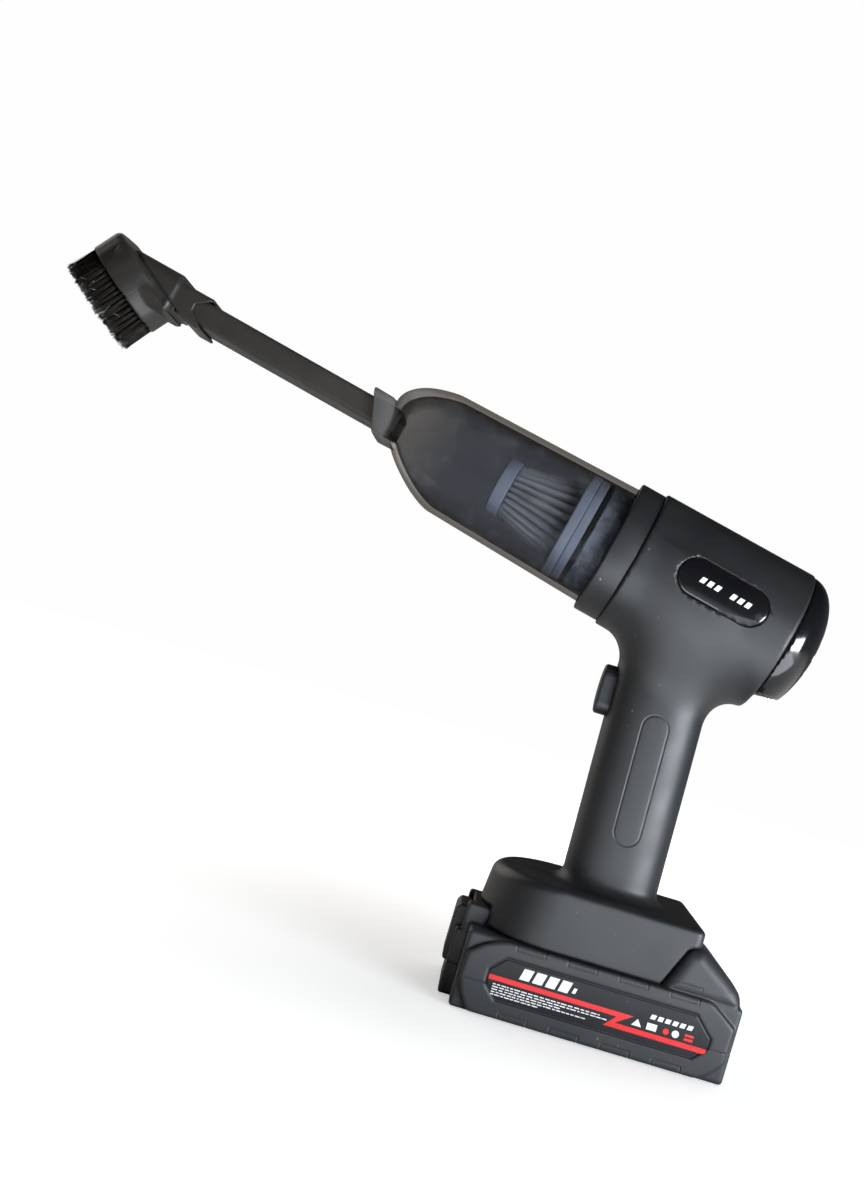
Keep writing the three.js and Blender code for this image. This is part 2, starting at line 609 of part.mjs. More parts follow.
function bodyShell(side) {
  const outside = shellOutside();
  const core = toBody(discBetween(0, 100, BADGE.inner - GAP, FINE));
  const badgeSeat = toSolid(toBody(badgePlug(GAP))).subtract(toSolid(core));
  const shell = without(outside, shellCuts()).subtract(badgeSeat);
  const bosses = joined(SCREWS.map(([x, z]) => rodAlongY(x, z, -40, 40, BOSS_RADIUS, 10)));
  const withBosses = shell.add(bosses.intersect(outside).subtract(toSolid(barrelBore())));
  const bores = SCREWS.flatMap(([x, z, depth]) => [
    rodAlongY(x, z, -8, 45, 1.6, 8),
    rodAlongY(x, z, depth - 3, 45, 2.9, 12),
  ]);
  const left = box([-90, -60, 0], [90, GAP / 2, 260]);
  const right = box([-90, -GAP / 2, 0], [90, 60, 260]);
  return without(withBosses, [...bores, side < 0 ? right : left]);
}

// The soft grip plate on each side of the handle, sunk this deep below the handle's face. Its
// seat is cut with the same plug, standing proud of the face so that it opens outwards.
function gripPlug(hand, margin, sunk, proud = 0.05) {
  const options = { depth: sunk + proud, bevelEnabled: false };
  const plug = new THREE.ExtrudeGeometry(obround(GRIP.length + 2 * margin, GRIP.width + 2 * margin), options);
  plug.rotateX(Math.PI / 2).rotateY(-Math.PI / 2 - HANDLE.rake);
  const high = hand > 0 ? HANDLE.halfWidth + proud : -HANDLE.halfWidth + sunk;
  return plug.translate(GRIP.x, high, GRIP.z);
}

// The button's bar, from x0 to x1, standing along the handle.
function buttonBar(x0, x1, margin) {
  const outline = obround(BUTTON.height + 2 * margin, BUTTON.width + 2 * margin, 4);
  const bar = new THREE.ExtrudeGeometry(outline, { depth: x1 - x0, bevelEnabled: false });
  return bar.rotateZ(Math.PI / 2).rotateY(Math.PI / 2).rotateX(Math.PI / 2).translate(x0, 0, BUTTON.z);
}

const buttonPlug = () => buttonBar(-45, -20, FIT);

function powerButton() {
  const stem = box([-26, -3, BUTTON.z - 5], [-19, 3, BUTTON.z + 5]);
  const flange = box([-23.6, -4, BUTTON.z - 12.6], [-22.4, 4, BUTTON.z + 12.6]);
  return joined([buttonBar(BUTTON.x, -22.6, 0), flange, stem]);
}

function bodyScrew(x, z, depth) {
  const thread = rodAlongY(x, z, -6, depth - 2.8, 1.2, 8);
  return joined([thread, rodAlongY(x, z, depth - 2.9, depth - 0.9, 2.5, 12)]);
}

addMesh(vacuum, "left_shell", bodyShell(-1), matteBlack);
addMesh(vacuum, "right_shell", bodyShell(1), matteBlack);
addMesh(vacuum, "grip_plate_left", gripPlug(-1, 0, GRIP.thick), matteBlack);
addMesh(vacuum, "grip_plate_right", gripPlug(1, 0, GRIP.thick), matteBlack);
addMesh(vacuum, "power_button", powerButton(), glossBlack);
SCREWS.forEach(([x, z, depth], k) => addMesh(vacuum, `body_screw_${k + 1}`, bodyScrew(x, z, depth), steel));

// ---- electrics in the handle and foot -----------------------------------
function wire(side) {
  const foot = [[-33, 8 * side, 54], [-14, 8 * side, 57], [-8, 9 * side, 72]];
  const route = [...foot, [-9, 9 * side, 110], [-7, 9 * side, 150]];
  const path = new THREE.CatmullRomCurve3(route.map((point) => new THREE.Vector3(...point)));
  const section = new THREE.Shape();
  section.absarc(0, 0, 1.1, 0, 2 * Math.PI);
  const outline = new THREE.Shape(section.getSpacedPoints(6).slice(0, -1));
  return new THREE.ExtrudeGeometry(outline, { steps: 14, extrudePath: path, bevelEnabled: false });
}

function terminalBlock() {
  const block = box([-49.5, -14, 41.5], [-40.6, 14, 52]);
  const slotAt = (y) => box([-48.4, y - 0.8, 43.2], [-30, y + 0.8, 47.8]);
  const slots = [slotAt(-BLADE_Y), slotAt(BLADE_Y)];
  return without(toSolid(block), slots);
}

const terminalBlade = (side) => box([-48, side * BLADE_Y - 0.4, 43.6], [-24, side * BLADE_Y + 0.4, 47.4]);

addMesh(vacuum, "control_board", box([-14, -11, 96], [-12.4, 11, 134]), boardGreen);
addMesh(vacuum, "micro_switch", box([-16, -5, 134.8], [-10, 5, 147]), packGrey);
addMesh(vacuum, "wire_positive", wire(-1), wireRed);
addMesh(vacuum, "wire_negative", wire(1), rubberBlack);
addMesh(vacuum, "terminal_block", terminalBlock(), packGrey);
addMesh(vacuum, "terminal_blade_positive", terminalBlade(-1), brass);
addMesh(vacuum, "terminal_blade_negative", terminalBlade(1), brass);

// ---- battery pack -------------------------------------------------------
function packOutside() {
  const { halfLength, top, coreHalfWidth, halfWidth } = PACK;
  const { x, halfWidth: noseWidth, cheekTop, kneeX, kneeTop } = PACK_FRONT;
  const core = [[-halfLength, 0.8], [-halfLength + 0.8, 0], [halfLength + 0.4, 0], [halfLength + 1, 0.8]];
  const coreRear = [[halfLength, top - 1.5], [halfLength - 1.5, top]];
  const coreFront = [[-halfLength + 4, top], [-halfLength, top - 4]];
  const nose = [[-56, 0], [x + 2, 0], [x + 0.6, 1.2], [x, cheekTop - 1], [x + 0.8, cheekTop]];
  const knee = [[kneeX, cheekTop], [kneeX, kneeTop - 1.5], [kneeX + 1.2, kneeTop], [-57.4, kneeTop], [-56, 36]];
  const { front, rear, neckHalfWidth, shelf, top: tongueTop } = TONGUE;
  return joined([
    sidePrism([...core, ...coreRear, ...coreFront], -coreHalfWidth, coreHalfWidth, 1),
    sidePrism([...PANEL, ...PANEL_FRONT], -halfWidth, halfWidth, 1),
    sidePrism([...nose, ...knee], -noseWidth, noseWidth, 0.6),
    sidePrism(HUMP, -coreHalfWidth - 0.6, coreHalfWidth + 0.6, 2.5),
    box([kneeX + 3.7, 1.5 - noseWidth, top - 2.1], [front + 1, noseWidth - 1.5, shelf - 0.3]),
    box([front, -neckHalfWidth, top - 2], [rear, neckHalfWidth, shelf + 1]),
    box([front, -TONGUE.halfWidth, shelf], [rear, TONGUE.halfWidth, tongueTop]),
  ]);
}

function labelOutline(margin) {
  const { left, right, bottom, top, chamfer } = LABEL;
  const [x0, x1, z0, z1] = [left - margin, right + margin, bottom - margin, top + margin];
  const low = [[x0 + chamfer, z0], [x1 - chamfer, z0], [x1, z0 + chamfer], [x1, z1 - chamfer - 2]];
  return [...low, [x1 - chamfer - 2, z1], [x0 + chamfer, z1], [x0, z1 - chamfer], [x0, z0 + chamfer]];
}

const labelBetween = (y0, y1, margin) => sidePrism(labelOutline(margin), y0, y1);

// The pack's case as one solid with its hollow, pockets and slots, before it is parted.
function packCase() {
  const { halfLength, wall, top, halfWidth } = PACK;
  const hollow = box([-halfLength + wall, -33.2, wall], [halfLength - wall, 33.2, top - wall]);
  const bosses = PACK_SCREWS.map(([x, y]) => rodAlongZ(x, y, 1, top - 1, 2.5, 12));
  const tongueHollow = box([TONGUE.front + 20, -18, top - 5], [TONGUE.rear - 2, 18, TONGUE.top - wall]);
  const latchPocket = box([-70, -LATCH.halfWidth - FIT, 8.2], [-58.4, LATCH.halfWidth + FIT, 45]);
  const bladeSlots = [-BLADE_Y, BLADE_Y].map((y) => box([-50, y - 1, 42.6], [-22, y + 1, 60]));
  const labels = [-1, 1].map((side) => {
    const outer = side * (halfWidth + 1);
    const inner = side * (halfWidth - LABEL.thick - GAP - 0.1);
    return labelBetween(Math.min(outer, inner), Math.max(outer, inner), GAP);
  });
  const shell = without(packOutside(), [hollow, tongueHollow]).add(joined(bosses));
  const screwBores = PACK_SCREWS.flatMap(([x, y]) => [
    rodAlongZ(x, y, -1, 22, 1.5, 12),
    rodAlongZ(x, y, -1, 1.6, 2.6, 16),
  ]);
  return without(shell, [latchPocket, ...bladeSlots, ...labels, ...screwBores]);
}

function latchButton() {
  const { front, back, halfWidth, bottom, top } = LATCH;
  const foot = [[back, bottom], [front + 0.8, bottom], [front, bottom + 1]];
  const head = [[front, top - 2], [front + 1.6, top], [back, top]];
  const bar = sidePrism([...foot, ...head], -halfWidth, halfWidth, 0.6);
  const springSeat = rodAlongZ(SPRING.x, 0, bottom - 1, SPRING.top + GAP, SPRING.radius + FIT, 16);
  return without(toSolid(bar), [springSeat]);
}

function cellHolder(side) {
  const [x, low, high] = [51, 3.2, 23.4];
  const corners = [[-x, low], [x, low], [x, high], [-x, high]];
  const plate = new THREE.Shape(corners.map((corner) => new THREE.Vector2(...corner)));
  cellPlaces.forEach((place) => plate.holes.push(roundHole(CELL.radius + GAP, place, CELL.z, 16)));
  const holder = new THREE.ExtrudeGeometry(plate, { depth: 5, bevelEnabled: false });
  return holder.rotateX(Math.PI / 2).translate(0, side < 0 ? -17 : 22, 0);
}

const cellPlaces = Array.from({ length: CELL.count }, (_, k) => (k - (CELL.count - 1) / 2) * CELL.pitch);
const cell = (x) => rodAlongY(x, CELL.z, -CELL.length / 2, CELL.length / 2, CELL.radius, 16);

function packScrew(x, y) {
  return joined([rodAlongZ(x, y, 1, 18, 1.2, 12), rodAlongZ(x, y, 0.3, 1.3, 2.3, 16)]);
}

const wholeCase = packCase();
const above = box([-90, -60, PACK.parting], [90, 60, 90]);
const below = box([-90, -60, -10], [90, 60, PACK.parting + GAP]);
addMesh(vacuum, "pack_lower_case", without(wholeCase, [above]), packGrey);
addMesh(vacuum, "pack_upper_case", without(wholeCase, [below]), packGrey);
addMesh(vacuum, "latch_button", latchButton(), packGrey);
addMesh(vacuum, "latch_spring", rodAlongZ(SPRING.x, 0, SPRING.bottom, SPRING.top, SPRING.radius, 12), steel);
const labelFace = PACK.halfWidth - 0.1;
addMesh(vacuum, "label_left", labelBetween(-labelFace, -labelFace + LABEL.thick, 0), labelBlack);
addMesh(vacuum, "label_right", labelBetween(labelFace - LABEL.thick, labelFace, 0), labelBlack);
cellPlaces.forEach((x, k) => addMesh(vacuum, `cell_${k + 1}`, cell(x), cellBlue));
addMesh(vacuum, "cell_holder_left", cellHolder(-1), packGrey);
addMesh(vacuum, "cell_holder_right", cellHolder(1), packGrey);
addMesh(vacuum, "charge_board", box([-45, -20, 25.6], [16, 20, 27.2]), boardGreen);
PACK_SCREWS.forEach(([x, y], k) => addMesh(vacuum, `pack_screw_${k + 1}`, packScrew(x, y), steel));

export default vacuum;
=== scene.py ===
"""Looks for a cordless handheld vacuum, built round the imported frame.

The skins are written as signed distances in millimetres, in the frame's own axes.
"""

import math
import random
from math import cos, pi, sin, sqrt

import bmesh
import bpy
import numpy as np
import openvdb
from mathutils import Matrix, Vector
from numpy import hypot, maximum, minimum

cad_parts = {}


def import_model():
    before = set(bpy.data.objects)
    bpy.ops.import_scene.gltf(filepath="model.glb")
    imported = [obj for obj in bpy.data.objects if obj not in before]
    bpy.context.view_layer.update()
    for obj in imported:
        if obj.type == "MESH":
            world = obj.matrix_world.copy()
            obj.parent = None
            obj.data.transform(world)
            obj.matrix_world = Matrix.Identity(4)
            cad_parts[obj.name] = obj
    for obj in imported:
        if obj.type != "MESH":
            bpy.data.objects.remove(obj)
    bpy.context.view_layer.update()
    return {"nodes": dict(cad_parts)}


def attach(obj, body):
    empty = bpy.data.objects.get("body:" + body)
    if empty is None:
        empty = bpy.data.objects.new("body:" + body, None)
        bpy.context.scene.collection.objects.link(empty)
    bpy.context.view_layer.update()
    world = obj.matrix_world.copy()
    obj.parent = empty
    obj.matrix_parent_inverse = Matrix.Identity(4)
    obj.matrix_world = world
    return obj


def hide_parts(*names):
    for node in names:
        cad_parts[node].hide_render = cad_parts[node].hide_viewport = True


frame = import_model()
nodes = frame["nodes"]
MM = 0.001

# ---- the frame's driving dimensions, in millimetres ----
PITCH = math.radians(12.9)  # the barrel's axis rises this much towards the nozzle
COS, SIN = cos(PITCH), sin(PITCH)
START = (-46.7, 200.5)  # x and z of the collar's front edge, on the barrel's axis
FACE_TILT = math.radians(27)
FACE_AT = (-235.5, -7)  # the brush's face, behind and above START
STRIP_TOP = 13.6  # where the pack's two cases part
SCREWS = [(-14, 154, 18.4), (8, 148, 18.4), (6, 70, 17), (16, 53, 35.5)]  # x, z and boss height
BUTTON_AT = 141  # the power button's middle, in z
BARREL_FROM, BARREL_TO = 11.45, 83.2  # the body's part of the barrel, behind START
BARREL_RADIUS, BARREL_FLARE = 31.5, 0.0084
CAP_FROM, CAP_WIDE, CAP_DEEP = 83, 31.4, 16.4
SHELL_WALL = 2.8
BARREL_BORE = 28.6
GRIP_MIDDLE, GRIP_HALF, GRIP_RADIUS = 108.6, 28, 5.65
BADGE_HALF, BADGE_RADIUS = 20.3, 8.0
NO_LINE = 9.0  # further from any groove than a groove reaches
CUP_WALL = 2.4
CUP_STRAIGHT, CUP_NECK = 80, 104.7  # where the cup's shoulder begins and ends, ahead of START
BORE_HIGH, BORE_WIDE = 5.9, 13.9  # half sizes of the flat duct
PLEATS_FROM, PLEATS_LONG = 20.4, 27.9  # ahead of START
PLEAT_WIDE, PLEAT_NARROW, PLEAT_DEEP = 18.8, 11.9, 3.0
TUBE_FROM, TUBE_TO = 103.4, 207.6
HEAD_LONG, HEAD_WIDE, HEAD_DEEP = 21.2, 17.5, 13  # half sizes of the octagon, and its depth
FACET = 8.5  # where its corners are cut, along the long side
LABEL_FACE = 37.4


def along(x, z):
    """Distances behind the collar's front edge, and above the barrel's axis."""
    dx, dz = x - START[0], z - START[1]
    return COS * dx - SIN * dz, SIN * dx + COS * dz


def barrel_point(behind, y, above):
    """The same distances turned back into the frame's x, y and z."""
    return (START[0] + COS * behind + SIN * above, y, START[1] - SIN * behind + COS * above)


# ---- distances ----
def round_max(a, b, r):
    """The space in both, with its outer edge rounded."""
    return minimum(-r, maximum(a, b)) + hypot(maximum(a + r, 0), maximum(b + r, 0))


def round_min(a, b, r):
    """The space in either, with its inner corner filled."""
    return maximum(r, minimum(a, b)) - hypot(maximum(r - a, 0), maximum(r - b, 0))


def cut(a, tool, r=0.4):
    return round_max(a, -tool, r)


def slab(value, low, high):
    return maximum(low - value, value - high)


def block(x, y, z, low, high, r=0.5):
    sides = round_max(slab(x, low[0], high[0]), slab(y, low[1], high[1]), r)
    return round_max(sides, slab(z, low[2], high[2]), r)


def oval(u, v, a, b, n):
    """A superellipse's distance, to first order."""
    pu, pv = np.abs(u) / a, np.abs(v) / b
    f = maximum((pu**n + pv**n) ** (1 / n), 0.05)
    slope = f ** (1 - n) * hypot(pu ** (n - 1) / a, pv ** (n - 1) / b)
    return (f - 1) / maximum(slope, 1e-3)


def obround(u, v, half_length, radius):
    return hypot(maximum(np.abs(u) - half_length + radius, 0), v) - radius


def polygon(u, v, corners, r=0.0):
    """A convex outline, its corners listed anticlockwise."""
    d = np.full_like(u, -1e3)
    for (u0, v0), (u1, v1) in zip(corners, corners[1:] + corners[:1]):
        run, rise = u1 - u0, v1 - v0
        length = math.hypot(run, rise)
        side = ((u - u0) * rise - (v - v0) * run) / length
        d = round_max(d, side, r) if r else maximum(d, side)
    return d


# ---- meshes ----
def add_piece(name, points, faces, material, body, replaced=(), slot=None, smooth=True):
    mesh = bpy.data.meshes.new(name)
    mesh.from_pydata((np.asarray(points) * MM).tolist(), [], [tuple(face) for face in faces])
    mesh.validate()
    mesh.materials.append(material)
    if smooth:
        mesh.shade_smooth()
    piece = bpy.data.objects.new(name, mesh)
    bpy.context.scene.collection.objects.link(piece)
    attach(piece, body)
    if replaced:
        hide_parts(*replaced)
    return piece


def gradient(points, distance, h=0.02):
    offsets = np.eye(3) * h
    rises = [distance(*(points + e).T) - distance(*(points - e).T) for e in offsets]
    return np.stack(rises, 1) / (2 * h)


def settle(points, distance, limit):
    """Moves points onto the surface itself."""
    for _ in range(3):
        slope = gradient(points, distance)
        size = maximum((slope**2).sum(1), 0.3)
        step = np.clip(distance(*points.T) / size, -limit, limit)
        points = points - step[:, None] * slope
    return points


def refined(points, quads, near, cuts):
    """Splits the faces that lie within near() of a fine line."""
    work = bmesh.new()
    verts = [work.verts.new(p) for p in points]
    marks = near(*points.T)
    for quad in quads:
        work.faces.new([verts[i] for i in quad])
    work.verts.index_update()
    marked = {v for v, mark in zip(verts, marks) if mark}
    edges = [e for e in work.edges if e.verts[0] in marked and e.verts[1] in marked]
    bmesh.ops.subdivide_edges(work, edges=edges, cuts=cuts, use_grid_fill=True)
    return unpacked(work)


def unpacked(work):
    """The points and faces of a working mesh, which is then let go."""
    work.verts.index_update()
    points = np.array([v.co[:] for v in work.verts])
    faces = [[v.index for v in f.verts] for f in work.faces]
    work.free()
    return points, faces


def skin(name, distance, low, high, step, material, body, lines=None, width=0.3, depth=0.4,
         **more):
    """A closed mesh round the space where distance is below zero, with fine grooves along lines."""
    start = np.array(low, float) - 1.5 * step
    counts = np.ceil((np.array(high) - start) / step + 2.5).astype(int)
    axes = [(start[k] + step * np.arange(counts[k])).astype(np.float32) for k in range(3)]
    field = distance(*np.meshgrid(*axes, indexing="ij")) / step
    grid = openvdb.FloatGrid(2.0)
    grid.copyFromArray(np.ascontiguousarray(np.clip(field, -2, 2), dtype=np.float32))
    points, quads = grid.convertToQuads(0.0)
    points = settle(start + points.astype(float) * step, distance, step * 0.7)
    quads = quads.tolist()
    if lines:
        reach = 1.1 * step + 2.2 * width
        points, quads = refined(points, quads, lambda x, y, z: lines(x, y, z) < reach, 3)

        def carved(x, y, z):
            return distance(x, y, z) + depth * np.exp(-((lines(x, y, z) / width) ** 2))

        points = settle(points, carved, step * 0.4)
    piece = add_piece(name, points, quads, material, body, **more)
    turn_out(piece)
    return piece


def turn_out(piece):
    work = bmesh.new()
    work.from_mesh(piece.data)
    if work.calc_volume(signed=True) < 0:
        bmesh.ops.reverse_faces(work, faces=work.faces)
    work.to_mesh(piece.data)
    work.free()


def band(a, b, around, k):
    """The k-th face between two rings of points that start at a and b."""
    return a + k, a + (k + 1) % around, b + (k + 1) % around, b + k


def ring_faces(ring_count, around):
    """Faces all round a closed loop of rings."""
    faces = []
    for ring in range(ring_count):
        a, b = ring * around, (ring + 1) % ring_count * around
        faces += [band(a, b, around, k) for k in range(around)]
    return faces


def softened(profile, r, steps=4):
    """Rounds the corners of a closed outline, each by r or by its own third number."""
    out = []
    count = len(profile)
    for k, corner in enumerate(profile):
        here = Vector(corner[:2])
        before = Vector(profile[k - 1][:2]) - here
        after = Vector(profile[(k + 1) % count][:2]) - here
        reach = min(corner[2] if len(corner) > 2 else r, before.length * 0.45, after.length * 0.45)
        if here.y < 1e-6 or reach < 0.02:
            out.append(tuple(here))
            continue
        first, last = here + before.normalized() * reach, here + after.normalized() * reach
        for j in range(steps + 1):
            t = j / steps
            out.append(tuple(first.lerp(here, t).lerp(here.lerp(last, t), t)))
    return out


def turned(name, profile, material, body, r=0.3, around=112, **more):
    """A piece turned about the barrel's axis. The profile is a closed loop of (behind, radius)."""
    rings = softened(profile, r)
    points = []
    for behind, radius in rings:
        radius = max(radius, 0.001)
        for k in range(around):
            angle = 2 * pi * k / around
            points.append(barrel_point(behind, radius * cos(angle), radius * sin(angle)))
    piece = add_piece(name, points, ring_faces(len(rings), around), material, body, **more)
    tidy_mesh(piece)
    return piece


def tidy_mesh(piece):
    work = bmesh.new()
    work.from_mesh(piece.data)
    bmesh.ops.remove_doubles(work, verts=work.verts, dist=2e-6)
    bmesh.ops.dissolve_degenerate(work, edges=work.edges, dist=1e-7)
    bmesh.ops.recalc_face_normals(work, faces=work.faces)
    work.to_mesh(piece.data)
    work.free()
    turn_out(piece)


def power(value, exponent):
    return math.copysign(abs(value) ** exponent, value)


def duct(name, rings, material, body, around=128, **more):
    """A closed loop of rings: ahead, half height, half width, squareness, lean."""
    points = []
    for ahead, high, wide, square, lean in rings:
        for k in range(around):
            angle = 2 * pi * (k + 0.5) / around
            above = high * power(sin(angle), 2 / square)
            across = wide * power(cos(angle), 2 / square)
            points.append(barrel_point(-(ahead + lean * above), across, above))
    piece = add_piece(name, points, ring_faces(len(rings), around), material, body, **more)
    turn_out(piece)
    return piece


# ---- materials ----
class Shader:
    """A Principled material with small helpers for its procedural nodes."""

    def __init__(self, name, base, rough, metal=0.0, specular=0.5, coat=0.0):
        self.made = bpy.data.materials.new(name)
        self.made.use_nodes = True
        self.tree = self.made.node_tree
        self.bsdf = self.tree.nodes["Principled BSDF"]
        values = {"Base Color": (*base, 1), "Roughness": rough, "Metallic": metal,
                  "Specular IOR Level": specular, "Coat Weight": coat, "Coat Roughness": 0.08}
        for socket, value in values.items():
            self.bsdf.inputs[socket].default_value = value
        self.where = self.node("TexCoord").outputs["Object"]

    def node(self, kind, **values):
        made = self.tree.nodes.new("ShaderNode" + kind)
        for key, value in values.items():
            setattr(made, key, value)
        return made

    def link(self, source, target):
        if isinstance(source, (int, float)):
            target.default_value = source
        else:
            self.tree.links.new(source, target)

    def noise(self, scale, detail=3.0, stretch=None):
        made = self.node("TexNoise")
        where = self.where
        if stretch:
            mapping = self.node("Mapping")
            mapping.inputs["Scale"].default_value = stretch
            self.link(where, mapping.inputs["Vector"])
            where = mapping.outputs[0]
        self.link(where, made.inputs["Vector"])
        made.inputs["Scale"].default_value = scale
        made.inputs["Detail"].default_value = detail
        return made.outputs["Fac"]

    def fit(self, value, low, high, to_low, to_high):
        made = self.node("MapRange", clamp=True)
        for socket, number in zip(list(made.inputs)[1:5], (low, high, to_low, to_high)):
            socket.default_value = number
        self.link(value, made.inputs[0])
        return made.outputs[0]

    def vector(self, operation, a, b=None, result=0):
        """One step of vector arithmetic. b is a fixed vector."""
        made = self.node("VectorMath", operation=operation)
        self.link(a, made.inputs[0])
        if b is not None:
            made.inputs[1].default_value = b
        return made.outputs[result]

    def reckon(self, operation, a, b):
        made = self.node("Math", operation=operation)
        self.link(a, made.inputs[0])
        self.link(b, made.inputs[1])
        return made.outputs[0]

    def blend(self, factor, a, b):
        made = self.node("Mix", data_type="RGBA")
        self.link(factor, made.inputs[0])
        for socket, colour in ((made.inputs[6], a), (made.inputs[7], b)):
            if isinstance(colour, tuple):
                socket.default_value = (*colour, 1)
            else:
                self.link(colour, socket)
        return made.outputs[2]

    def colour(self, value):
        self.link(value, self.bsdf.inputs["Base Color"])

    def rough(self, value):
        self.link(value, self.bsdf.inputs["Roughness"])

    def bump(self, height, strength, distance):
        made = self.node("Bump")
        made.inputs["Strength"].default_value = strength
        made.inputs["Distance"].default_value = distance
        self.link(height, made.inputs["Height"])
        self.link(made.outputs[0], self.bsdf.inputs["Normal"])


def plastic(name, base, rough, grain=2600, relief=0.12, specks=0.45, tint=(1.35, 1.25, 1.15),
            **more):
    """Moulded plastic: fine spark grain, cloudy handling marks and a few specks of dust."""
    made = Shader(name, base, rough, **more)
    clouds = made.noise(38, 4)
    handled = tuple(c * t for c, t in zip(base, tint))
    colour = made.blend(made.fit(clouds, 0.42, 0.68, 0, 1), base, handled)
    least = 0.80 - 0.05 * specks
    dust = made.fit(made.noise(520, 1.5), least, least + 0.03, 0, 0.55 * min(1, specks * 2))
    made.colour(made.blend(dust, colour, (0.30, 0.30, 0.31)))
    made.rough(made.fit(made.noise(60, 5), 0.3, 0.7, rough - 0.05, rough + 0.07))
    made.bump(made.noise(grain, 2), relief, 0.00012)
    return made.made


def metal(name, base, rough, stretch=(1, 1, 1)):
    made = Shader(name, base, rough, metal=1.0)
    streaks = made.noise(420, 4, stretch)
    made.rough(made.fit(streaks, 0.3, 0.7, rough - 0.08, rough + 0.12))
    made.colour(made.blend(streaks, tuple(c * 0.8 for c in base), base))
    made.bump(streaks, 0.08, 0.0001)
    return made.made


BODY = plastic("body_black", (0.0110, 0.0117, 0.0132), 0.45)
GLOSS = plastic("gloss_black", (0.004, 0.004, 0.005), 0.13, relief=0.02, specks=0.2, coat=0.5)
TUBE = plastic("tube_brown_black", (0.030, 0.0270, 0.0245), 0.40, relief=0.10, specular=0.42)
PACK = plastic("pack_grey_black", (0.0175, 0.0188, 0.0210), 0.50, relief=0.16)
LABEL = plastic("label_black", (0.0058, 0.0064, 0.0080), 0.34, relief=0.04, specks=0.6,
                specular=0.34)
RUBBER = plastic("rubber_black", (0.006, 0.006, 0.006), 0.75, specks=0.1)
INNER = plastic("inner_grey", (0.05, 0.05, 0.055), 0.5)
FILTER = plastic("filter_blue_grey", (0.74, 0.79, 0.89), 0.42, 1800,
                 tint=(0.8, 0.82, 0.88), specks=0.2)
BOARD = plastic("board_green", (0.012, 0.09, 0.045), 0.4)
SLEEVE = plastic("cell_sleeve_blue", (0.03, 0.12, 0.32), 0.35)
RED_WIRE = plastic("wire_red", (0.35, 0.01, 0.01), 0.45)
STEEL = metal("steel", (0.52, 0.52, 0.54), 0.32)
COPPER = metal("copper_windings", (0.55, 0.24, 0.10), 0.42, (1, 14, 1))
BRASS = metal("bronze", (0.58, 0.42, 0.18), 0.35)


def fold_depth(made):
    """How far out a point of the pleats is from the middle of the folds, in millimetres."""
    start = Vector(barrel_point(-PLEATS_FROM, 0, 0)) * MM
    end = Vector(barrel_point(-PLEATS_FROM - PLEATS_LONG, 0, 0)) * MM
    forward = (end - start).normalized()
    offset = made.vector("SUBTRACT", made.where, start)
    reach = made.vector("DOT_PRODUCT", offset, forward, "Value")
    out = made.vector("LENGTH", made.vector("CROSS_PRODUCT", offset, forward), None, "Value")
    wide, narrow = PLEAT_WIDE - PLEAT_DEEP / 2, PLEAT_NARROW - PLEAT_DEEP / 2
    middle = made.fit(reach, 0, PLEATS_LONG * MM, wide, narrow)
    return made.reckon("SUBTRACT", made.reckon("MULTIPLY", out, 1 / MM), middle)


def paper_material():
    made = Shader("filter_paper", (0.42, 0.44, 0.47), 0.9)
    fibres = made.noise(1500, 5, (1, 1, 0.5))
    patches = made.fit(made.noise(70, 5), 0.4, 0.75, 0, 0.6)
    # Darker in random patches of dirt, and painted shade deep in the folds between the pleats.
    dirt_and_fold_shade = made.reckon("MAXIMUM", patches, made.fit(fold_depth(made), -1.3, 0.8, 1, 0))
    clean = made.blend(fibres, (0.82, 0.84, 0.87), (0.94, 0.95, 0.97))
    made.colour(made.blend(dirt_and_fold_shade, clean, (0.36, 0.35, 0.34)))
    made.bump(fibres, 0.35, 0.0002)
    return made.made


def dusty_material():
    """The spigot's band under the cup's rim, rubbed and coated with caked dust."""
    made = Shader("spigot_dusty", (0.05, 0.055, 0.065), 0.5)
    coat = made.noise(190, 6)
    cake = made.fit(coat, 0.46, 0.66, 0, 1)
    scuffs = made.fit(made.noise(420, 4, (1, 0.18, 1)), 0.56, 0.66, 0, 0.9)
    colour = made.blend(cake, (0.34, 0.37, 0.42), (0.72, 0.74, 0.78))
    made.colour(made.blend(scuffs, colour, (0.80, 0.82, 0.86)))
    made.rough(made.fit(coat, 0.3, 0.7, 0.35, 0.85))
    made.bump(coat, 0.5, 0.0004)
    return made.made


def bristle_material():
    made = Shader("bristle_black", (0.010, 0.009, 0.008), 0.42, specular=0.22)
    tip = bristle_direction()
    reach = made.vector("DOT_PRODUCT", made.where, tip, "Value")
    start = (Vector(face_point(0, 0, 0)) * MM).dot(Vector(tip))
    dusty = made.fit(reach, start + 0.0095, start + 0.0142, 0, 0.55)
    patchy = made.reckon("MULTIPLY", dusty, made.fit(made.noise(420, 3), 0.42, 0.62, 0, 1))
    base = made.blend(made.noise(900, 2), (0.008, 0.0072, 0.0066), (0.030, 0.025, 0.020))
    made.colour(made.blend(patchy, base, (0.26, 0.245, 0.22)))
    return made.made


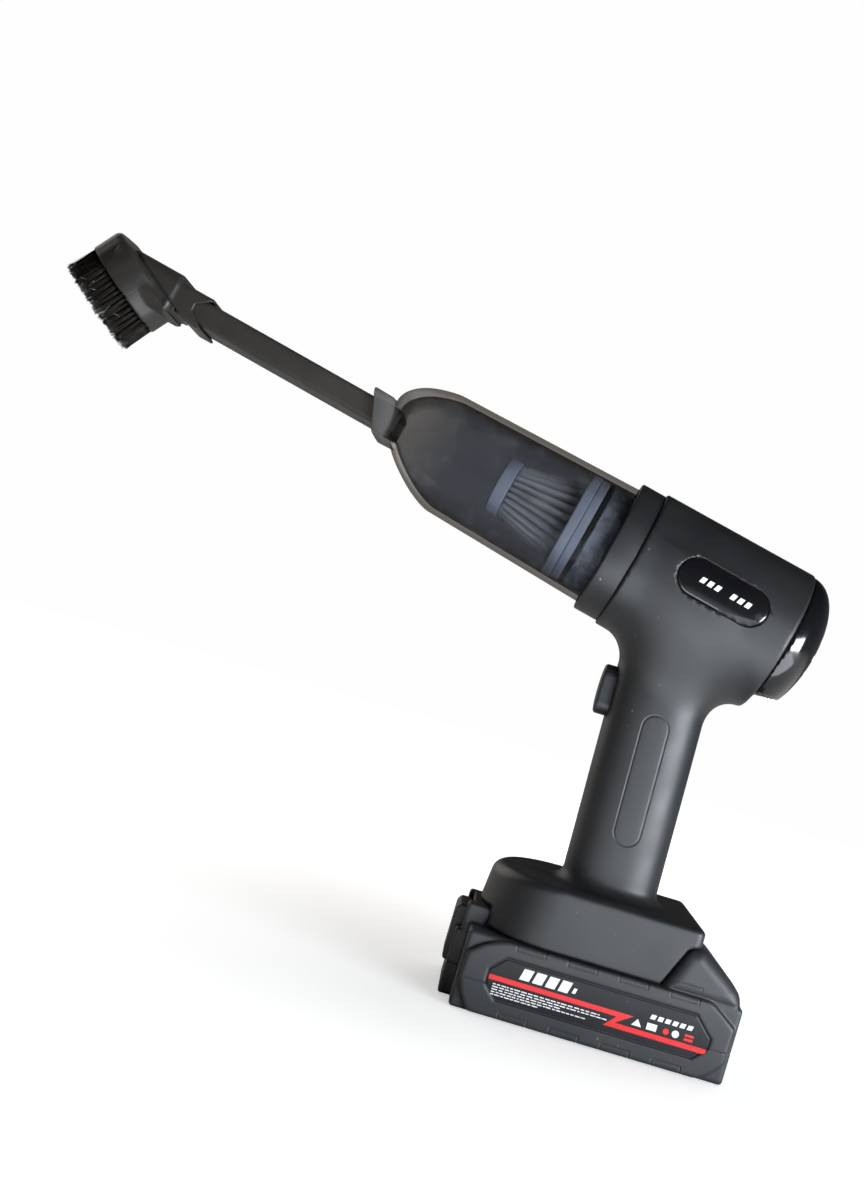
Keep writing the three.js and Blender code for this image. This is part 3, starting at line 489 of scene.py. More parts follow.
def cup_material():
    """Smoked clear plastic. Each of a wall's two faces takes its own share of the light.

    The front is a little clearer, and the collar at the neck is hazy.
    """
    made = Shader("cup_smoked", (0.5, 0.5, 0.5), 0.1)
    tree = made.tree
    output = tree.nodes["Material Output"]
    tree.nodes.remove(made.bsdf)
    clear = made.node("BsdfTransparent")
    gloss = made.node("BsdfGlossy")
    haze = made.node("BsdfDiffuse")
    gloss.inputs["Color"].default_value = (0.15, 0.155, 0.17, 1)
    haze.inputs["Color"].default_value = (0.60, 0.59, 0.57, 1)
    start, tip = Vector(barrel_point(0, 0, 0)) * MM, Vector(barrel_point(-1000, 0, 0)) * MM
    ahead = (tip - start).normalized()
    reach = made.vector("DOT_PRODUCT", made.where, ahead, "Value")
    level = start.dot(ahead)
    front = made.fit(reach, level + 0.076, level + 0.099, 0, 1)
    collar = made.fit(reach, level + 0.1040, level + 0.1062, 0, 1)
    grazing = made.node("LayerWeight").outputs["Facing"]
    facing = made.blend(front, (0.465, 0.475, 0.500), (0.585, 0.575, 0.565))
    clouds = made.fit(made.noise(26, 4), 0.35, 0.7, 0, 0.18)
    facing = made.blend(clouds, facing, (0.50, 0.49, 0.48))
    through = made.blend(made.fit(grazing, 0.42, 0.72, 0, 1), facing, (0.410, 0.390, 0.370))
    through = made.blend(collar, through, (0.28, 0.27, 0.26))
    shadow = made.node("LightPath").outputs["Is Shadow Ray"]
    made.link(made.blend(shadow, through, (0.97, 0.97, 0.98)), clear.inputs["Color"])
    made.link(made.fit(made.noise(40, 5), 0.4, 0.7, 0.07, 0.13), gloss.inputs["Roughness"])
    fresnel = made.node("Fresnel")
    fresnel.inputs["IOR"].default_value = 1.40
    milky = made.node("MixShader")
    scuffed = made.fit(made.noise(120, 6), 0.55, 0.75, 0.006, 0.045)
    made.link(made.reckon("MAXIMUM", scuffed, made.fit(collar, 0, 1, 0, 0.13)), milky.inputs[0])
    made.link(clear.outputs[0], milky.inputs[1])
    made.link(haze.outputs[0], milky.inputs[2])
    mix = made.node("MixShader")
    made.link(made.reckon("MINIMUM", fresnel.outputs[0], 0.16), mix.inputs[0])
    made.link(milky.outputs[0], mix.inputs[1])
    made.link(gloss.outputs[0], mix.inputs[2])
    made.link(mix.outputs[0], output.inputs["Surface"])
    return made.made


# ---- body ----
def handle_middle(z):
    return -4.75 - 0.026 * (z - 60)


def body_outside(x, y, z):
    behind, above = along(x, z)
    out = hypot(y, above)
    barrel = out - (BARREL_RADIUS + BARREL_FLARE * (behind - 11.6))
    barrel = round_max(barrel, BARREL_FROM - behind, 0.8)
    barrel = round_max(barrel, behind - BARREL_TO, 1.0)
    u = x - handle_middle(z)
    handle = oval(u, y, 20.65, 18, 2.7)
    handle = maximum(maximum(handle, above + 4), 46 - z)
    side = y**2 / (u**2 + y**2 + 1e-3)
    fillet = 21 * side + (1 - side) * np.where(u < 0, 9, 16)
    upper = round_min(barrel, handle, fillet)
    foot = foot_outside(x, y, z)
    return round_min(upper, foot, 5.5)


def foot_outside(x, y, z):
    u = x + 24.9
    front = oval(u, y, 32 - 0.1 * (z - 33), 36.8, 2.0)
    behind = round_max(u - 59.8, np.abs(y) - 36.8, 3.2)
    plan = np.where(u < 0, front, behind)
    edge = 2.2 + 2.6 * np.clip(-u / 26, 0, 1) ** 0.7
    return round_max(round_max(plan, z - 58.5, edge), 33 - z, 0.7)


def notch(x, z):
    """The foot's rear lower corner, where the pack's shoulder stands."""
    slope = -((x - 22.3) * 0.914 - (z - 33.3) * 0.405)
    step = (x - 29.7) * -0.311 + (z - 50) * 0.951
    return round_max(round_max(slope, step, 1.0), z - 51.7, 1.0)


def badge_outline(behind, above, grow=0.0):
    return obround(behind - 49.5, above - 3.5, BADGE_HALF + grow, BADGE_RADIUS + grow)


def screw_reach(x, z, at):
    return hypot(x - at[0], z - at[1])


def body_distance(x, y, z):
    outside = body_outside(x, y, z)
    behind, above = along(x, z)
    out = hypot(y, above)
    inside = minimum(maximum(outside + SHELL_WALL, 36.4 - z), out - BARREL_BORE)
    d = cut(outside, inside, 0.3)
    for at in SCREWS:
        boss = maximum(maximum(screw_reach(x, z, at) - 3.6, outside), 28.9 - out)
        d = minimum(d, boss)
    d = cut(d, maximum(np.abs(y) - 20.8, z - 37.4), 0.4)
    d = cut(d, maximum(maximum(np.abs(y) - 19.5, x + 40), z - 40.6), 0.4)
    d = cut(d, notch(x, z), 0.4)
    window = maximum(obround(z - BUTTON_AT, y, 11.3, 5.9), x + 20)
    d = cut(d, window, 0.5)
    seat = maximum(maximum(badge_outline(behind, above, 0.3), 31.0 - out), y)
    d = cut(d, seat, 0.3)
    for at in SCREWS:
        reach = screw_reach(x, z, at)
        d = cut(d, maximum(reach - 2.9, at[2] - 3 - y), 0.35)
        d = cut(d, maximum(reach - 1.6, -8 - y), 0.1)
    return d


def body_lines(x, y, z):
    """How far a point is from the grip plates' outlines and the seam between the shells."""
    up = z - GRIP_MIDDLE
    plate = np.abs(obround(up, x + 6.2 + 0.026 * up, GRIP_HALF, GRIP_RADIUS))
    plate = np.where(np.abs(y) > 10, plate, NO_LINE)
    outside = body_outside(x, y, z)
    seam = np.where(outside > -1.2, np.abs(y), NO_LINE) + 0.12
    behind, above = along(x, z)
    seat = np.abs(badge_outline(behind, above, 0.3)) + 0.6
    seat = np.where((y < 0) & (hypot(y, above) > 30), seat, NO_LINE)
    return minimum(minimum(plate, seam), seat)


skin(
    "body_shell", body_distance, (-60, -38, 32), (64, 38, 236), 1.0, BODY, "body",
    lines=body_lines, width=0.26, depth=0.45,
    replaced=("left_shell", "right_shell", "grip_plate_left", "grip_plate_right"),
    slot="body_plastic",
)

COLLAR = [(0, 27.8), (0, 30.3, 1.2), (11.3, 30.3, 0.6), (11.3, 24.2), (4.6, 24.2), (4.6, 27.8)]
turned("front_collar_ring", COLLAR, BODY, "body", replaced=("front_collar",), slot="body_plastic")


def dome(out, rise, wide, high, fullness=2.25):
    """A crowned lid, a little fuller than an ellipse."""
    reach = (out / wide) ** fullness + (maximum(rise, 0) / high) ** fullness
    return (reach ** (1 / fullness) - 1) * high


def rear_cap_distance(x, y, z):
    behind, above = along(x, z)
    out = hypot(y, above)
    rise = behind - CAP_FROM
    d = maximum(dome(out, rise, CAP_WIDE, CAP_DEEP), 0.5 - rise)
    d = cut(d, dome(out, rise, CAP_WIDE - 3, CAP_DEEP - 2.8), 0.2)
    angle = np.arctan2(above, y)
    sector = pi / 6
    turn = (angle + sector / 2) % sector - sector / 2
    slot = obround(out * np.cos(turn) - 12.5, out * np.sin(turn), 5, 1.1)
    return cut(d, maximum(slot, 88 - behind), 0.3)


skin(
    "rear_cap_gloss", rear_cap_distance, (20, -33, 160), (60, 33, 220), 0.9, GLOSS, "body",
    replaced=("rear_cap",), slot="gloss_plastic",
)


# ---- badge ----
def badge_distance(x, y, z):
    behind, above = along(x, z)
    out = hypot(y, above)
    outline = badge_outline(behind, above)
    face = out - 32.55 - 0.35 * np.clip(-outline / 4, 0, 1)
    d = round_max(outline, face, 0.6)
    return maximum(maximum(d, 31.3 - out), y)


skin(
    "badge_plate", badge_distance, (-22, -34, 186), (28, -24, 208), 0.5, GLOSS, "body",
    replaced=("badge",), slot="gloss_plastic",
)


# ---- dust cup and filter ----
def shoulder(start, end, round_radius, high, wide, count=22):
    rings = []
    for k in range(count):
        angle = k / (count - 1) * pi / 2
        forward = abs(sin(angle)) ** 1.36
        inward = max(cos(angle), 0) ** 1.36
        ahead = start + (end - start) * forward
        half_high = high + (round_radius - high) * inward
        half_wide = wide + (round_radius - wide) * inward
        rings.append((ahead, half_high, half_wide, 2 + 6 * forward**2, 0.2 + 0.12 * forward))
    return rings


def barrel_of_cup(first, last, count=8):
    """Plain rings from one (ahead, radius) to another, the lean coming in with the distance."""
    rings = []
    for t in np.arange(count) / count:
        ahead, radius = (a + (b - a) * t for a, b in zip(first, last))
        rings.append((ahead, radius, radius, 2, 0.2 * t))
    return rings


def cup_rings():
    skin_rings = [(-4.0, 27.2, 27.2, 2, 0)] + barrel_of_cup((-3.4, 27.4), (CUP_STRAIGHT, 25.2))
    skin_rings += shoulder(CUP_STRAIGHT, CUP_NECK, 25.2, 8.4, 17)
    skin_rings += [(105.4, 8.3, 16.8, 8, 0.36), (106.0, 8.8, 17.1, 8, 0.4)]
    skin_rings += [(113.9, 9.0, 17.3, 8, 0.45), (114.6, 8.6, 16.9, 8, 0.45)]
    bore = [(114.6, 6.2, 14.2, 8, 0.45), (113.8, BORE_HIGH, BORE_WIDE, 8, 0.45)]
    bore += [(104.5, BORE_HIGH, BORE_WIDE, 8, 0.34)]
    start = CUP_STRAIGHT - 2
    hollow = shoulder(start, CUP_NECK - 2, 25.2 - CUP_WALL, BORE_HIGH, BORE_WIDE)[::-1]
    rest = barrel_of_cup((-3.6, 25.0), (start, 25.2 - CUP_WALL))[::-1]
    return skin_rings + bore + hollow + rest + [(-4.1, 25.3, 25.3, 2, 0)]


duct("dust_cup_clear", cup_rings(), cup_material(), "cup", replaced=("dust_cup",),
     slot="smoked_clear")
CUP_SEAL = [(0.8, 24.8), (0.8, 25.5), (3.8, 25.5), (3.8, 24.8)]
turned("cup_seal_ring", CUP_SEAL, RUBBER, "cup_rim", 0.15, replaced=("cup_seal",), slot="rubber")


def spigot_distance(x, y, z):
    behind, above = along(x, z)
    out = hypot(y, above)
    d = round_max(out - 23.6, slab(behind, -9.6, 9), 0.5)
    for k in range(3):
        angle = 2 * pi * k / 3
        across = y * cos(angle) + above * sin(angle)
        reach = -y * sin(angle) + above * cos(angle)
        sides = round_max(np.abs(across) - 3, slab(behind, -7, -3), 0.4)
        lug = round_max(sides, slab(reach, 20, 24.0), 0.3)
        d = minimum(d, lug)
    return cut(d, out - 17.6, 0.4)


skin("cup_spigot_dusty", spigot_distance, (-62, -25, 172), (-26, 25, 229), 0.8,
     dusty_material(), "body", replaced=("cup_spigot",), slot="body_plastic")

CAP = [(-54.6, 0), (-54.6, 12.9, 1.2), (-48.6, 12.9, 0.6), (-48.6, 0)]
FLANGE = [(-20.1, 16), (-20.1, 23.8, 0.8), (-15.8, 23.8, 0.4), (-15.8, 16)]
RING = [(-15.5, 16), (-15.5, 23.5, 0.4), (-11.7, 23.5, 0.8), (-11.7, 16)]
GASKET = [(-11.4, 16), (-11.4, 23.8, 0.5), (-9.9, 23.8, 0.5), (-9.9, 16)]
for part, node, outline in (("cap", "end_cap", CAP), ("flange", "flange", FLANGE),
                            ("ring", "ring", RING)):
    turned(f"filter_{part}_turned", outline, FILTER, "filter", replaced=(f"filter_{node}",),
           slot="filter_plastic")
turned("filter_gasket_turned", GASKET, RUBBER, "filter", replaced=("filter_gasket",), slot="rubber")


def filter_pleats():
    """A long accordion of folded paper, wavering a little from pleat to pleat."""
    draw = random.Random(5)
    pleats, rows, per = 24, 14, 8
    around = pleats * per
    sway = [draw.uniform(-0.35, 0.35) for _ in range(pleats)]
    points = []
    for depth in (0.0, 0.7):
        for row in range(rows):
            t = row / (rows - 1)
            radius = PLEAT_WIDE + (PLEAT_NARROW - PLEAT_WIDE) * t
            behind = -PLEATS_FROM - PLEATS_LONG * t
            for k in range(around):
                fold = k % per / per
                crest = 0.5 + 0.5 * cos(2 * pi * fold)
                reach = radius - PLEAT_DEEP * (1 - crest**0.8) - depth
                turn = 2 * pi * k / around
                swing = sin(pi * t) * sin(pi * fold) ** 2 / radius
                turn += sway[k // per] * swing
                points.append(barrel_point(behind, reach * cos(turn), reach * sin(turn)))
    faces = []
    for skin_side in range(2):
        base = skin_side * rows * around
        for row in range(rows - 1):
            a, b = base + row * around, base + (row + 1) * around
            for k in range(around):
                quad = band(a, b, around, k)
                faces.append(quad if skin_side else quad[::-1])
    for row in (0, rows - 1):
        a, b = row * around, (rows + row) * around
        faces += [band(a, b, around, k) for k in range(around)]
    piece = add_piece("filter_paper_folds", points, faces, paper_material(), "filter",
                      replaced=("filter_pleats",), slot="filter_paper")
    tidy_mesh(piece)


filter_pleats()


# ---- tube and brush ----
def tube_rings():
    outside = [(103, 5.2, 13.2, 7, 0), (TUBE_FROM, 5.5, 13.5, 7, 0)]
    step = (TUBE_TO - TUBE_FROM) / 10
    outside += [(TUBE_FROM + step * k, 5.5, 13.5, 7, 0) for k in range(1, 11)]
    inside = [(208, 4.1, 12.1, 7, 0)] + [(TUBE_TO - step * k, 3.9, 11.9, 7, 0) for k in range(11)]
    return outside + [(208, 5.2, 13.2, 7, 0)] + inside + [(103, 4.1, 12.1, 7, 0)]


duct("extension_tube_flat", tube_rings(), TUBE, "tube", replaced=("extension_tube",),
     slot="tube_plastic")


def face_axes(x, z):
    """Distances along the brush's face, and into the head from it."""
    behind, above = along(x, z)
    u, w = behind - FACE_AT[0], above - FACE_AT[1]
    lean_cos, lean_sin = cos(FACE_TILT), sin(FACE_TILT)
    return u * lean_cos - w * lean_sin, u * lean_sin + w * lean_cos


def face_point(u, y, deep):
    behind = u * cos(FACE_TILT) + deep * sin(FACE_TILT) + FACE_AT[0]
    above = -u * sin(FACE_TILT) + deep * cos(FACE_TILT) + FACE_AT[1]
    return barrel_point(behind, y, above)


def bristle_direction():
    a, b = Vector(face_point(0, 0, 0)), Vector(face_point(0, 0, -1))
    return tuple((b - a).normalized())


def octagon(u, y, inset, corner=2.5):
    ends = round_max(np.abs(u) - HEAD_LONG + inset, np.abs(y) - HEAD_WIDE + inset, 0.8)
    chamfer = np.abs(u) * 0.655 + np.abs(y) * 0.756 - 18.8 + inset
    return round_max(ends, chamfer, corner)


def flat_duct(behind, y, above, ends, high, wide, r):
    sides = round_max(np.abs(above) - high, np.abs(y) - wide, r)
    return round_max(sides, slab(behind, *ends), 0.5)


def brush_distance(x, y, z):
    behind, above = along(x, z)
    u, deep = face_axes(x, z)
    inner_cut = 6.0 * np.clip((6.2 - np.abs(above)) / 4.5, 0, 1)
    sides = round_max(np.abs(above) - 7.1, np.abs(y) - 15.5, 2.2)
    socket = round_max(round_max(sides, behind + 195 + inner_cut, 0.5), -213 - behind, 0.5)
    elbow = round_max(np.abs(above - 0.8) - 9.2, np.abs(y) - 16.2, 3.2)
    corners = np.abs(above - 0.8) * 0.7 + np.abs(y) * 0.714 - 15.6
    elbow = round_max(elbow, corners, 1.2)
    elbow = round_max(round_max(elbow, behind + 211, 1.2), -241 - behind, 1)
    neck = round_min(socket, maximum(elbow, -deep), 1.2)
    crease = maximum(slab(deep, 11.5, 15.2), -1.5 - neck)
    neck = cut(neck, crease, 0.6)
    oct_edge = octagon(u, y, 0, 4.5)
    back = (deep - HEAD_DEEP + 0.3 * np.clip(oct_edge, -9, 0)) * 0.95
    head = round_max(round_max(oct_edge, back, 2.2), -deep, 0.5)
    d = round_min(neck, head, 0.5)
    d = cut(d, flat_duct(behind, y, above, (-208.3, -180), 5.9, 13.9, 1.0), 0.4)
    d = cut(d, flat_duct(behind, y, above, (-236, -207), 4.7, 12.1, 1.5), 0.5)
    d = cut(d, maximum(octagon(u, y, 9.0), deep - 9), 0.5)
    groove = maximum(maximum(octagon(u, y, 1.3), -octagon(u, y, 7.5)), deep - 2.1)
    return cut(d, groove, 0.3)


def brush_lines(x, y, z):
    """Faint seams where the head's facets meet, and the socket's cut end."""
    u, deep = face_axes(x, z)
    seam = np.abs(np.abs(u) - FACET) + 0.15
    seam = np.where((np.abs(y) > 15) & (deep > 0.5) & (deep < 12.3), seam, NO_LINE)
    behind, above = along(x, z)
    rim = np.where((behind > -203) & (np.abs(y) > 9), 0.55, NO_LINE)
    return minimum(seam, rim)


skin("brush_head_moulded", brush_distance, (-306, -19, 216), (-226, 19, 272), 0.8, TUBE, "brush",
     lines=brush_lines, width=0.22, depth=0.22, replaced=("brush_head",), slot="tube_plastic")


TUFTS = (50, 42, 34)  # in each row, from the outside


def bristle_place(row, place):
    """A tuft's place on the octagon's ring, 0 to 1 round it."""
    inset = 2.5 + 2.05 * row
    corners = [(HEAD_LONG - inset, 6.5 - 0.4 * inset), (FACET - 0.4 * inset, HEAD_WIDE - inset)]
    corners += [(-u, y) for u, y in corners[::-1]]
    corners += [(-u, -y) for u, y in corners]
    lengths = [math.dist(corners[k], corners[(k + 1) % 8]) for k in range(8)]
    left = place % 1.0 * sum(lengths)
    for k, length in enumerate(lengths):
        if left <= length:
            a, b = corners[k], corners[(k + 1) % 8]
            t = left / length
            return a[0] + (b[0] - a[0]) * t, a[1] + (b[1] - a[1]) * t
        left -= length
    return corners[0]


def strand(path, radii, points, faces, sides=3):
    """A tapered hair through a few points, closed at both ends."""
    base = len(points)
    way = Vector(path[-1]) - Vector(path[0])
    across = way.cross(Vector((0.31, 0.9, 0.2))).normalized()
    other = way.cross(across).normalized()
    for centre, radius in zip(path, radii):
        for k in range(sides):
            turn = 2 * pi * k / sides
            out = across * cos(turn) + other * sin(turn)
            points.append(tuple(Vector(centre) + out * radius))
    for ring in range(len(path) - 1):
        a, b = base + ring * sides, base + (ring + 1) * sides
        faces += [band(a, b, sides, k) for k in range(sides)]
    faces.append(tuple(base + k for k in range(sides))[::-1])
    last = base + (len(path) - 1) * sides
    faces.append(tuple(last + k for k in range(sides)))


def bristles():
    draw = random.Random(11)
    points, faces = [], []
    for row, count in enumerate(TUFTS):
        for k in range(count):
            u, y = bristle_place(row, (k + 0.5 * (row % 2)) / count)
            lean_u, lean_y = draw.gauss(0, 0.35) + u * 0.012, draw.gauss(0, 0.35) + y * 0.016
            reach = draw.gauss(13.4, 0.35)
            for _ in range(26):
                turn, away = draw.uniform(0, 2 * pi), sqrt(draw.random())
                du, dy = away * cos(turn), away * sin(turn)
                bend_u, bend_y = draw.gauss(0, 0.28), draw.gauss(0, 0.28)
                long = reach + draw.gauss(0, 0.3)
                path = []
                for t in (0.0, 0.35, 0.7, 1.0):
                    spread = 0.62 + 0.42 * t
                    side_u = u + du * spread + (lean_u + bend_u) * t**2
                    side_y = y + dy * spread + (lean_y + bend_y) * t**2
                    path.append(face_point(side_u, side_y, 1.4 - (long + 1.4) * t))
                strand(path, (0.115, 0.11, 0.10, 0.07), points, faces)
    add_piece("bristle_tufts", points, faces, bristle_material(), "brush",
              replaced=("bristle_ring",), slot="bristle")


def caught_lint():
    """A few pale hairs and fibres caught in the bristles."""
    draw = random.Random(23)
    points, faces = [], []
    for _ in range(9):
        u, deep = draw.uniform(-15, 15), draw.uniform(-13.2, -6.5)
        side = draw.uniform(-1.0, 1.0)
        turn = draw.uniform(0.4, 2.6)
        long = draw.uniform(1.2, 4.2)
        path = []
        for t in (-0.5, -0.17, 0.17, 0.5):
            wave = 0.5 * sin(3 * t + side)
            path.append(face_point(
                u + long * t * cos(turn), -15.9 - 0.5 * side - wave,
                min(deep + long * t * sin(turn), -1.0)))
        strand(path, (0.03, 0.045, 0.045, 0.03), points, faces, 4)
    lint = Shader("lint_pale", (0.6, 0.58, 0.54), 0.8)
    lint.colour(lint.blend(lint.noise(700), (0.42, 0.40, 0.37), (0.75, 0.73, 0.70)))
    add_piece("bristle_lint", points, faces, lint.made, "brush", slot="bristle")


bristles()
caught_lint()


# ---- buttons ----
def button_distance(x, y, z):
    bar = obround(z - BUTTON_AT, y, 10.9, 5.5)
    crown = -33.2 - x + 0.0042 * (z - BUTTON_AT) ** 2
    d = round_max(round_max(bar, crown, 1.1), x + 22.6, 0.4)
    flange = block(x, y, z - BUTTON_AT, (-23.6, -4, -12.6), (-22.4, 4, 12.6), 0.3)
    stem = block(x, y, z - BUTTON_AT, (-26, -3, -5), (-19, 3, 5), 0.3)
    return minimum(minimum(d, flange), stem)


skin("power_button_bar", button_distance, (-34, -7, 127), (-18, 7, 155), 0.5, BODY, "button",
     replaced=("power_button",), slot="gloss_plastic")


LATCH_SIDE = [(-58.8, 12.6), (-58.8, 37.0), (-63.5, 37.0), (-65.1, 35.0), (-65.1, 13.6),
              (-64.3, 12.6)]


def latch_distance(x, y, z):
    d = round_max(polygon(x, z, LATCH_SIDE, 0.5), np.abs(y) - 11.8, 0.8)
    grip = np.abs((z - 18.2 + 1.2) % 2.4 - 1.2) - 0.35
    grip = maximum(grip, np.abs(z - 21.8) - 4.9)
    grip = maximum(grip, maximum(x + 64.75, np.abs(y) - 9.5))
    d = cut(d, grip, 0.15)
    return cut(d, maximum(hypot(x + 61, y) - 1.8, z - 24), 0.2)


skin("latch_button_moulded", latch_distance, (-66, -13, 12), (-58, 13, 38), 0.5, PACK, "latch",
     replaced=("latch_button",), slot="pack_plastic")


# ---- battery pack ----
PANEL = [(-50, 0.5), (47, 0.5), (52, 3.6), (56.4, 9), (56.8, 24), (50, 29), (45, 32),
         (-42, 32), (-50, 29), (-56, 24), (-56.6, 13.6), (-54.5, 7)]
SHOULDER = [(22.8, 30), (57.6, 30), (57.2, 35.1), (54.2, 39.4), (36.4, 51.2), (30.2, 49.3)]
PACK_SCREWS = [(-52, -27), (52, -27), (-52, 27), (52, 27)]
LABEL_EDGE = [(-39.7, 8.3), (42.3, 8.3), (47.8, 13.8), (47.8, 17.6), (40.3, 25.1), (-39.7, 25.1),
              (-45.2, 19.6), (-45.2, 13.8)]
# the clips' x, along each edge
WINDOWS = [(-37.2, -25.1), (-15.6, -3.5), (6.0, 18.1), (27.6, 39.7)]


def pack_outside(x, y, z):
    core = block(x, y, z, (-57.6, -35, 0), (58.4, 35, 32.2), 1.6)
    panel = round_max(polygon(x, z, PANEL, 1.0), np.abs(y) - 37.5, 1.3)
    d = round_min(core, panel, 0.4)
    nose = block(x, y, z, (-62.9, -18.5, 0), (-50, 18.5, 28.4), 1.2)
    knee = block(x, y, z, (-60.7, -18.5, 20), (-50, 18.5, 39.9), 1.3)
    d = round_min(d, round_min(nose, knee, 0.6), 0.8)
    d = minimum(d, block(x, y, z, (-57, -17, 30), (-39, 17, 36.6), 0.4))
    hump = round_max(polygon(x, z, SHOULDER, 2.2), np.abs(y) - 35.6, 5.5)
    d = round_min(d, maximum(hump, 30 - z), 0.8)
    d = minimum(d, block(x, y, z, (-40, -20.2, 30), (27, 20.2, 38), 0.4))
    return minimum(d, block(x, y, z, (-40, -24.4, 36.9), (27, 24.4, 48.4), 0.6))


def pack_distance(x, y, z):
    d = pack_outside(x, y, z)
    hollow = block(x, y, z, (-55.2, -33.2, 2.4), (55.2, 33.2, 29.8), 0.5)
    tower = block(x, y, z, (-20, -18, 27), (25, 18, 46), 0.5)
    d = cut(d, minimum(hollow, tower), 0.3)
    for at in PACK_SCREWS:
        reach = hypot(x - at[0], y - at[1])
        d = minimum(d, maximum(reach - 2.5, slab(z, 1, 31)))
        hole = minimum(maximum(reach - 1.5, z - 22), maximum(reach - 2.6, z - 1.6))
        d = cut(d, hole, 0.15)
    pocket = maximum(maximum(np.abs(y) - 12.2, x + 58.4), 8.2 - z)
    d = cut(d, pocket, 0.4)
    for side in (-10, 10):
        d = cut(d, maximum(maximum(np.abs(y - side) - 1, x + 22), 42.6 - z), 0.2)
    recess = maximum(polygon(x, z, LABEL_EDGE) - 0.55, 36.75 - np.abs(y))
    return cut(d, recess, 0.45)


def frame_of(x, z, low, high):
    """How far a point is from a rectangle's outline, to first order."""
    return np.abs(maximum(slab(x, low[0], high[0]), slab(z, low[1], high[1])))


def pack_lines(x, y, z):
    """The line where the cases part, and the outlines of the clips along the side panels."""
    on_panel = np.abs(y) > 35.2
    lines = np.where(z > 33, NO_LINE, np.abs(z - STRIP_TOP))
    lines = np.where(pack_outside(x, y, z) > -1.2, lines, NO_LINE)
    for x0, x1 in WINDOWS:
        upper = frame_of(x, z, (x0, 29.5), (x1, 36))
        lower = frame_of(x, z, (x0, -4), (x1, 3.4))
        lines = minimum(lines, np.where(on_panel, minimum(upper, lower), NO_LINE))
    rim = np.where(on_panel, np.abs(polygon(x, z, LABEL_EDGE) - 0.55) + 0.7, NO_LINE)
    return minimum(lines, rim)


skin("pack_case", pack_distance, (-63.5, -38, 0), (59, 38, 52), 0.8, PACK, "pack",
     lines=pack_lines, width=0.2, depth=0.4,
     replaced=("pack_lower_case", "pack_upper_case"), slot="pack_plastic")


def plate(outline, y, thick, side, bevel=0.0):
    """A flat panel on the pack's side. Its face is at y on side -1 or 1."""
    work = bmesh.new()
    verts = [work.verts.new((x, side * (y - thick), z)) for x, z in outline]
    face = work.faces.new(verts)
    grown = bmesh.ops.extrude_face_region(work, geom=[face])
    moved = [v for v in grown["geom"] if isinstance(v, bmesh.types.BMVert)]
    bmesh.ops.translate(work, vec=(0, side * thick, 0), verts=moved)
    if bevel:
        rim = [e for e in work.edges if all(abs(v.co.y - side * y) < 1e-4 for v in e.verts)]
        bmesh.ops.bevel(work, geom=rim, offset=bevel, segments=3, profile=0.5, affect="EDGES")
    bmesh.ops.recalc_face_normals(work, faces=work.faces)
    return unpacked(work)


# A red line that steps down once, pale bars for a heading, rows of fine dashes, and plain signs.
BOLT = [(-45.0, 17.7), (15.8, 17.7), (9.0, 13.1), (47.6, 13.1), (47.6, 11.0), (4.7, 11.0),
        (9.2, 15.7), (-45.0, 15.7)]


def slanted(x0, x1, z0, z1, lean=0.25):
    shift = lean * (z1 - z0)
    return [(x0, z0), (x1, z0), (x1 + shift, z1), (x0 + shift, z1)]


def disc(x, z, radius, count=24):
    turns = [2 * pi * k / count for k in range(count)]
    return [(x + radius * cos(turn), z + radius * sin(turn)) for turn in turns]


def pale_shapes():
    """Four charge bars, six small bars, plain signs and rows of dashes. None of it is writing."""
    draw = random.Random(3)
    shapes = [slanted(-33.0 + 5.4 * k, -28.9 + 5.4 * k, 18.9, 23.6) for k in range(4)]
    shapes.append(slanted(-11.0, -9.6, 19.6, 21.8))
    shapes += [slanted(22.2 + 3.1 * k, 24.3 + 3.1 * k, 18.7, 20.6) for k in range(6)]
    shapes += [[(15.6, 14.3), (19.8, 14.3), (17.7, 17.2)], slanted(21.8, 26.0, 14.2, 17.0, 0)]
    shapes.append(disc(33.9, 15.6, 1.5))
    for row in range(5):
        x = -42.6
        stop = (2.5, 6.0, -16.0, -4.5, -23.0)[row]
        while x < stop:
            long = draw.uniform(0.7, 2.6)
            shapes.append(slanted(x, x + long, 14.05 - 1.05 * row, 14.5 - 1.05 * row, 0))
            x += long + draw.uniform(0.35, 0.7)
    return shapes


def red_shapes():
    lines = [slanted(37.7, 41.4, low, low + 1.0, 0) for low in (15.9, 14.2)]
    return [BOLT, disc(29.9, 15.5, 1.3, 8)] + lines


def ink(name, base, rough):
    made = Shader(name, base, rough)
    worn = made.fit(made.noise(600, 4), 0.30, 0.42, 0.62, 1)
    made.colour(made.blend(worn, tuple(c * 0.45 for c in base), base))
    made.bump(made.noise(1900, 2), 0.08, 0.00008)
    return made.made


RED = ink("ink_red", (0.66, 0.012, 0.016), 0.35)
PALE = ink("ink_pale", (0.72, 0.72, 0.71), 0.4)


def printed(name, shapes, side, material):
    """Thin prints on the label, mirrored on the right side so that they run the same way."""
    points, faces = [], []
    for shape in shapes:
        corners, sides = plate([(x * -side, z) for x, z in shape], LABEL_FACE + 0.02, 0.06, side)
        faces += [[len(points) + k for k in face] for face in sides]
        points += corners.tolist()
    add_piece(name, points, faces, material, "pack", slot="label", smooth=False)


for side, hand in ((-1, "left"), (1, "right")):
    panel = plate(LABEL_EDGE, LABEL_FACE, 0.5, side, bevel=0.35)
    add_piece(f"label_{hand}_panel", *panel, LABEL, "pack", (f"label_{hand}",), "label", False)
    printed(f"label_{hand}_red", red_shapes(), side, RED)
    printed(f"label_{hand}_pale", pale_shapes(), side, PALE)


